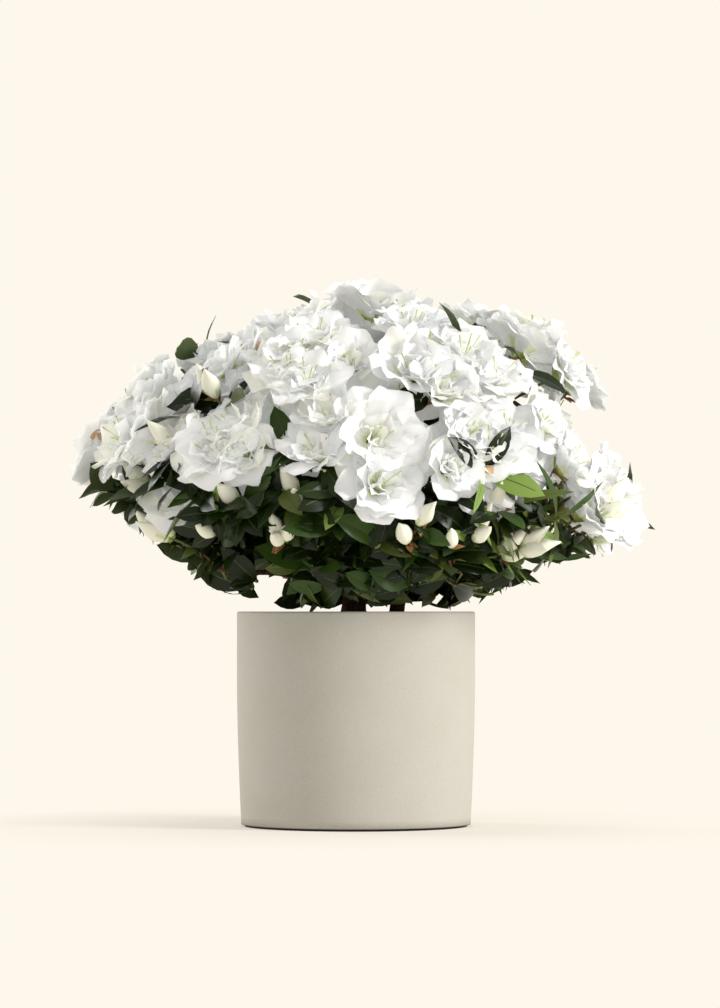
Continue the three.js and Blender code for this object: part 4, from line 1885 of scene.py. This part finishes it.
# From the outermost round to the crumpled middle.
ROWS = (
    PetalRow(5, 41, 38, 30, 99, 3.0, 0.03, 2.0),
    PetalRow(5, 37, 33, 24, 79, 3.4, 0.10, 1.7),
    PetalRow(4, 31, 26, 14, 57, 3.8, 0.18, 1.3),
    PetalRow(3, 26, 20, 8, 36, 4.0, 0.26, 0.9),
)


@dataclass(frozen=True)
class PetalSeat:
    """Where one petal stands: its shoot, its round, its turn, and how far and long its bloom has opened."""

    shoot: Shoot
    row: PetalRow
    turn: float
    openness: float
    stretch: float


@dataclass
class Blossom:
    """The double blooms: ruffled petals in rounds, with a lime throat."""

    crown: Crown
    template: Template = field(default_factory=lambda: Template.blade(4, 9))
    thickness: float = 0.35
    least: float = 0.82
    openness: tuple[float, float] = (0.66, 1.1)
    stretch: tuple[float, float] = (0.9, 1.06)
    one_more: float = 0.25
    whites: tuple[float, ...] = (0.66, 0.19, 0.15)
    spotted: float = 0.015
    steps: int = 24

    @staticmethod
    def outline(share: Array) -> Array:
        """Half a petal's width at shares of its length: a narrow claw, then broad and rounded."""
        return 0.09 + 0.91 * np.sin(np.pi * np.clip(share * 0.66, 0, 1)) ** 1.25

    def seats(self, shoots: Sequence[Shoot], chance: np.random.Generator) -> list[PetalSeat]:
        """The places of every petal of several blooms."""
        found = []
        for shoot in shoots:
            openness = chance.uniform(*self.openness)
            stretch = chance.uniform(*self.stretch)
            for level, row in enumerate(ROWS):
                count = row.count + int(chance.random() < self.one_more)
                for k in range(count):
                    turn = shoot.turn + TAU * (k + 0.5 * (level % 2) + chance.normal(0, 0.07)) / count
                    found.append(PetalSeat(shoot, row, turn, openness, stretch))
        return found

    def arc(self, start: Array, finish: Array, length: Array, shares: Array) -> tuple[Array, Array]:
        """How far petals that bend evenly have come at shares of their length.

        Args:
            start: how far each leans out at its foot, in radians from the bloom's axis.
            finish: how far at its tip.
            length: its length.
            shares: the shares of the length.

        Returns:
            The distances out from the axis and up along it, as petals by shares.
        """
        angles = start + (finish - start) * np.linspace(0, 1, self.steps + 1)[None] ** 1.15
        place = np.clip(shares * self.steps, 0, self.steps)
        low = np.minimum(place.astype(int), self.steps - 1)
        part = (place - low)[None]
        found = []
        for rate in (np.sin(angles), np.cos(angles)):
            run = np.cumsum((rate[:, 1:] + rate[:, :-1]) / 2, 1)
            run = np.concatenate([np.zeros((len(run), 1)), run], 1)
            found.append((run[:, low] * (1 - part) + run[:, low + 1] * part) * length / self.steps)
        return found[0], found[1]

    def petals(self, seats: Sequence[PetalSeat], chance: np.random.Generator) -> Array:
        """Works out the points of several petals.

        Args:
            seats: where the petals stand.
            chance: where their variety comes from.

        Returns:
            Their points, as petals by points by 3.
        """
        one_each = (len(seats), 1)

        def each(value: Callable[[PetalSeat], float]) -> Array:
            """One value of every petal, as a column."""
            return np.array([value(seat) for seat in seats], float)[:, None]

        def waves(place: Array, slow: float, fast: float) -> Array:
            """The phase of a wave over each petal, with a pitch of its own between slow and fast."""
            return place * chance.uniform(slow, fast, one_each) + chance.uniform(0, TAU, one_each)

        axis = np.array([seat.shoot.end.along for seat in seats])
        radial = np.array([seat.shoot.end.way_out(seat.turn) for seat in seats])
        scale = each(lambda seat: max(self.least, seat.shoot.scale))
        stretch = each(lambda seat: seat.stretch)
        cup = each(lambda seat: seat.row.cup)
        x, y, z = (values[None] for values in self.template.points.T)
        length = each(lambda seat: seat.row.length) * scale * stretch * chance.uniform(0.88, 1.08, one_each)
        half = each(lambda seat: seat.row.width) / 2 * scale * chance.uniform(0.86, 1.12, one_each)
        half = half * self.outline(y)
        start = np.radians(each(lambda seat: seat.row.rise) + chance.normal(0, 4, one_each))
        opened = each(lambda seat: seat.row.open * seat.openness)
        finish = np.radians(opened + chance.normal(0, 17, one_each))
        out, up = self.arc(start, finish, length, y[0])
        angle = start + (finish - start) * y**1.15
        notch = np.sin(waves(x, 3, 6))
        skew = 0.05 * y * chance.normal(0, 1, one_each) * x
        back = length * y**2 * (0.20 * x**2 + 0.035 * y**2 * notch + skew)
        out = out - back * np.sin(angle)
        up = up - back * np.cos(angle)
        across = half * x * (1 - 0.06 * cup * y)
        ruffle = each(lambda seat: seat.row.ruffle) * scale * (y**2.0 + 0.35 * y * x**4)
        broad = np.sin(waves(x, 3.0, 5.6))
        fine = np.sin(waves(x, 6.5, 9.5) + 3 * y)
        edge = np.sin(waves(y, 7, 12)) * np.sign(x)
        through = ruffle * (0.7 * broad + 0.42 * fine) + 0.3 * ruffle * edge * np.abs(x) ** 2
        through = through + cup * half * x**2 + chance.normal(0, 0.16, one_each) * across
        through = through + 0.09 * half * (1 - x**2) * np.sign(chance.normal(0.2, 1, one_each))
        through = through + lower_skin(z, self.thickness)
        out = out + each(lambda seat: seat.row.foot) - through * np.cos(angle)
        up = up + through * np.sin(angle)
        return (
            np.array([seat.shoot.end.middle for seat in seats])[:, None]
            + out[..., None] * radial[:, None]
            + up[..., None] * axis[:, None]
            + across[..., None] * np.cross(axis, radial)[:, None]
        )

    def slots(self, chance: np.random.Generator, count: int) -> Array:
        """Each face's slot: the petal's white, then the fold and the throat towards its foot."""
        middles = self.template.middles
        tint = chance.choice(len(self.whites), count, p=self.whites)
        slots = np.repeat(tint[:, None], len(middles), axis=1)
        reach = middles[None, :, 1] + 0.05 * chance.normal(0, 1, (count, 1))
        inward = np.abs(middles[None, :, 0]) < 0.3
        slots = np.where(reach < np.where(inward, 0.5, 0.3), PetalSlot.FOLD, slots)
        slots = np.where(reach < 0.21, PetalSlot.THROAT, slots)
        spotted = chance.random((count, 1)) < self.spotted
        return np.where(spotted & (reach > 0.42) & (reach < 0.62) & inward, PetalSlot.SPOT, slots)

    def build(self) -> None:
        """Builds the blooms, in one piece for each part of the crown."""
        chance = np.random.default_rng(SEED + 2)
        blooms = [shoot for shoot in self.crown.shoots if shoot.kind is Kind.BLOOM]
        for part, masses in parts_of(self.crown.masses).items():
            group = [shoot for shoot in blooms if shoot.mass in masses]
            if not group:
                continue
            piece = Piece(f"blossom_{part.value}", PETALS)
            seats = self.seats(group, chance)
            points = self.petals(seats, chance)
            piece.add(points, self.template, self.slots(chance, len(seats)))
            piece.build("blossom", sorted({f"foliage_{shoot.mass.name}" for shoot in group}))
        LOG.info("%d blooms", len(blooms))


@dataclass
class Buds:
    """Pointed buds, the papery scales under heads and the pistils of open blooms."""

    crown: Crown
    bud: Template = field(default_factory=lambda: Template.tube(15, 9))
    thread: Template = field(default_factory=lambda: Template.tube(3, 5))
    scale_blade: Template = field(default_factory=lambda: Template.blade(3, 2))
    pistils: int = 5
    thread_steps: int = 5
    thread_girth: float = 0.3
    thread_head: float = 0.7
    spread: float = 0.42
    upright: float = 0.45
    sizes: tuple[float, float] = (0.72, 1.05)
    girth_from: tuple[float, ...] = (0, 0.1, 0.3, 0.46, 0.66, 0.84, 1)
    girth_to: tuple[float, ...] = (0.18, 0.46, 0.86, 1, 0.74, 0.4, 0.07)
    furl: float = 0.16
    veins: int = 5
    scaly: float = 0.7
    scale_thickness: float = 0.3

    def bud_points(self, end: Station, size: float, chance: np.random.Generator) -> Array:
        """One bud at a station, its furled petals winding round it."""
        x, y, share = self.bud.points.T
        turn = np.arctan2(y, x)
        girth = np.interp(share, self.girth_from, self.girth_to)
        twist = turn * 2 + share * 6 + chance.uniform(0, TAU)
        plump = BUD.radius * size * chance.uniform(0.8, 1.0)
        radius = plump * girth * (1 + self.furl * share * np.sin(twist))
        lift = BUD.depth * size * share * chance.uniform(1.1, 1.3)
        bend = 0.16 * BUD.depth * share**2 * chance.uniform(-1, 1)
        return (
            end.middle[None]
            + (radius * np.cos(turn) + bend)[:, None] * end.across[None]
            + (radius * np.sin(turn))[:, None] * end.up[None]
            + lift[:, None] * end.along[None]
        )

    def bud_slots(self) -> Array:
        """Each face's slot on a bud: green at its base, then lime, which runs further up along the veins."""
        x, y, rise = self.bud.middles.T
        veined = np.cos(self.veins * (np.arctan2(y, x) - TAU / 30)) > 0.3
        upper = np.where(rise < np.where(veined, 0.5, 0.2), BudSlot.LIME, BudSlot.CREAM)
        return np.where(rise < 0.12, BudSlot.BASE, upper)

    def splayed(self, shoot: Shoot, chance: np.random.Generator) -> list[Station]:
        """The places of one to three buds that spread from the end of a shoot."""
        count = int(chance.choice((1, 2, 3), p=(0.38, 0.37, 0.25)))
        spread = 0.0 if count == 1 else self.spread
        found = []
        for k in range(count):
            turn = shoot.turn + TAU * k / count
            lean = spread * chance.uniform(0.7, 1.2)
            out = shoot.end.way_out(turn)
            along = unit(shoot.end.along * math.cos(lean) + out * math.sin(lean) + [0, 0, self.upright])
            across = unit(np.cross(shoot.end.up, along))
            found.append(Station(shoot.end.middle + out * 1.5, along, across, np.cross(along, across)))
        return found

    def threads(self, shoot: Shoot, chance: np.random.Generator) -> Array:
        """The pistils that stand out of one bloom."""
        found = []
        end = shoot.end
        for k in range(self.pistils):
            out = end.way_out(shoot.turn + TAU * k / self.pistils + chance.normal(0, 0.4))
            reach = shoot.scale * chance.uniform(20, 30)
            lean = chance.uniform(0.15, 0.5)
            middle = end.middle + end.along * reach * 0.6 + out * reach * lean * 0.3
            tip = end.middle + end.along * reach + out * reach * lean
            tip = tip + [0, 0, 0.12 * reach]
            found.append(self.thread_points(Bezier(end.middle, middle, tip)))
        return np.array(found)

    def thread_points(self, curve: Bezier) -> Array:
        """One pistil along a curve, with a small knob at its end."""
        frames = stations(curve, [float(share) for share in np.linspace(0, 1, self.thread_steps + 1)])
        points = []
        for x, y, share in self.thread.points:
            frame_here = frames[round(float(share) * self.thread_steps)]
            girth = self.thread_head if share > 0.95 else self.thread_girth
            points.append(frame_here.middle + (frame_here.across * x + frame_here.up * y) * girth)
        return np.array(points)

    def scales(self, shoots: Sequence[Shoot], chance: np.random.Generator) -> tuple[Array, Array]:
        """The papery scales under heads: their points and slots."""
        feet, headings, faces = [], [], []
        for shoot in shoots:
            for _ in range(int(chance.integers(2, 6))):
                turn = chance.uniform(0, TAU)
                out = shoot.end.way_out(turn)
                lean = chance.uniform(0.5, 1.3)
                feet.append(shoot.end.middle - shoot.end.along * chance.uniform(0, 5) + out * 0.8)
                headings.append(out * math.sin(lean) + shoot.end.along * math.cos(lean))
                faces.append(shoot.end.along)
        count = len(feet)
        blades = Blades(
            np.array(feet),
            np.array(headings),
            np.array(faces),
            chance.uniform(7, 14, count),
            chance.uniform(4, 8, count),
        )
        x, y, z = self.scale_blade.points.T
        half = np.sin(np.pi * (0.12 + 0.88 * y) ** 0.8)[None] * blades.widths[:, None] / 2
        through = 0.5 * half * x[None] ** 2 - 0.15 * blades.lengths[:, None] * y[None] ** 2
        through = through + lower_skin(z, self.scale_thickness)[None]
        points = blades.placed(half * x[None], blades.lengths[:, None] * y[None], through)
        tint = chance.choice([BudSlot.PAPERY, BudSlot.DRY], (count, 1), p=(0.55, 0.45))
        return points, np.repeat(tint, len(self.scale_blade.faces), axis=1)

    def build(self) -> bpy.types.Object:
        """Builds every bud, scale and pistil as one piece."""
        chance = np.random.default_rng(SEED + 3)
        shoots = self.crown.shoots
        piece = Piece("buds_and_pistils", BUDS)
        slots = self.bud_slots()
        buds = [shoot for shoot in shoots if shoot.kind is Kind.BUD]
        for shoot in buds:
            for end in self.splayed(shoot, chance):
                size = chance.uniform(*self.sizes)
                piece.add(self.bud_points(end, size, chance)[None], self.bud, slots)
        for shoot in shoots:
            if shoot.kind is Kind.BLOOM:
                piece.add(self.threads(shoot, chance), self.thread, np.full(1, BudSlot.PISTIL))
        heads = [shoot for shoot in shoots if shoot.kind is not Kind.SPRIG and chance.random() < self.scaly]
        points, tints = self.scales(heads, chance)
        piece.add(points, self.scale_blade, tints)
        LOG.info("%d shoots in bud", len(buds))
        nodes = sorted({f"foliage_{shoot.mass.name}" for shoot in buds})
        return piece.build("blossom", nodes)


# ---------------------------------------------------------------- studio


@dataclass(frozen=True)
class Lamp:
    """A soft square lamp: its place and size in metres, its power and its tint."""

    name: str
    place: tuple[float, float, float]
    size: float
    power: float
    tint: Colour


LAMPS = (
    Lamp("key", (1.90, -0.93, 1.10), 0.7, 43.5, (1.0, 0.985, 0.97)),
    Lamp("edge", (-1.5, 0.9, 0.8), 0.8, 14, (1.0, 1.0, 1.0)),
)


@dataclass
class Studio:
    """The backdrop, the lamps and the camera."""

    distance: float = 3.1
    eye: float = 0.160
    aside: float = 0.003
    pitch: float = 1.486
    lens: float = 148
    film: float = 36
    horizon: float = 50
    sweep: float = 1.0
    sweep_steps: int = 12
    depth: float = 5.2
    width: float = 26.0
    front: float = -9.0
    wall: float = 9.0
    aim: tuple[float, float, float] = (0, 0, 0.24)
    air: Colour = (1.0, 0.985, 0.96)
    air_strength: float = 0.67

    def backdrop(self) -> bpy.types.Object:
        """A floor that sweeps up into a wall."""
        mesh = bmesh.new()
        bend = self.depth - self.sweep
        line = [(self.front, 0.0), (bend, 0.0)]
        for k in range(1, self.sweep_steps + 1):
            turn = math.pi / 2 * k / self.sweep_steps
            line.append((bend + self.sweep * math.sin(turn), self.sweep * (1 - math.cos(turn))))
        line.append((self.depth, self.wall))
        verts = [mesh.verts.new((-self.width / 2, y, z)) for y, z in line]
        edges = [mesh.edges.new(pair) for pair in zip(verts, verts[1:])]
        grown = bmesh.ops.extrude_edge_only(mesh, edges=edges)["geom"]
        moved = [item for item in grown if isinstance(item, bmesh.types.BMVert)]
        bmesh.ops.translate(mesh, verts=moved, vec=(self.width, 0, 0))
        bmesh.ops.recalc_face_normals(mesh, faces=mesh.faces)
        obj = finished(mesh, "studio_backdrop", StudioFinish())
        bpy.context.scene.collection.objects.link(obj)
        return obj

    def light(self, lamp: Lamp) -> None:
        """Hangs a soft square lamp that faces the plant."""
        light = bpy.data.lights.new(lamp.name, "AREA")
        light.size = lamp.size
        light.energy = lamp.power
        light.color = lamp.tint
        obj = bpy.data.objects.new(lamp.name, light)
        obj.location = lamp.place
        aim = Vector(self.aim) - Vector(lamp.place)
        obj.rotation_euler = aim.to_track_quat("-Z", "Y").to_euler()
        bpy.context.scene.collection.objects.link(obj)

    def build(self) -> None:
        """Sets up the whole studio."""
        self.backdrop()
        for lamp in LAMPS:
            self.light(lamp)
        world = bpy.data.worlds.new("studio_air")
        world.use_nodes = True
        background = world.node_tree.nodes["Background"]
        background.inputs["Color"].default_value = (*self.air, 1.0)
        background.inputs["Strength"].default_value = self.air_strength
        scene = bpy.context.scene
        scene.world = world
        scene.view_settings.view_transform = "Standard"
        camera = bpy.data.cameras.new("camera")
        camera.lens = self.lens
        camera.sensor_width = self.film
        camera.clip_end = self.horizon
        obj = bpy.data.objects.new("camera", camera)
        obj.location = (self.aside, -self.distance, self.eye)
        obj.rotation_euler = (math.radians(90 + self.pitch), 0, 0)
        scene.collection.objects.link(obj)
        scene.camera = obj


def main() -> None:
    """Builds the whole part and the studio round it."""
    logging.basicConfig(level=logging.INFO, format="%(name)s: %(message)s")
    crown = Crown()
    for stage in ROUNDS:
        crown.grow(stage)
        LOG.info("%d shoots", len(crown.shoots))
    crown.hold_back(SEED + 300)
    crown.leaf_out(SEED + 200)
    crown.thin_out(SEED + 500)
    crown.clear_blooms()
    Studio().build()
    Pot().build()
    Soil().build()
    Wood(crown).build()
    Foliage(crown).build()
    Blossom(crown).build()
    Buds(crown).build()


if __name__ == "__main__":
    main()
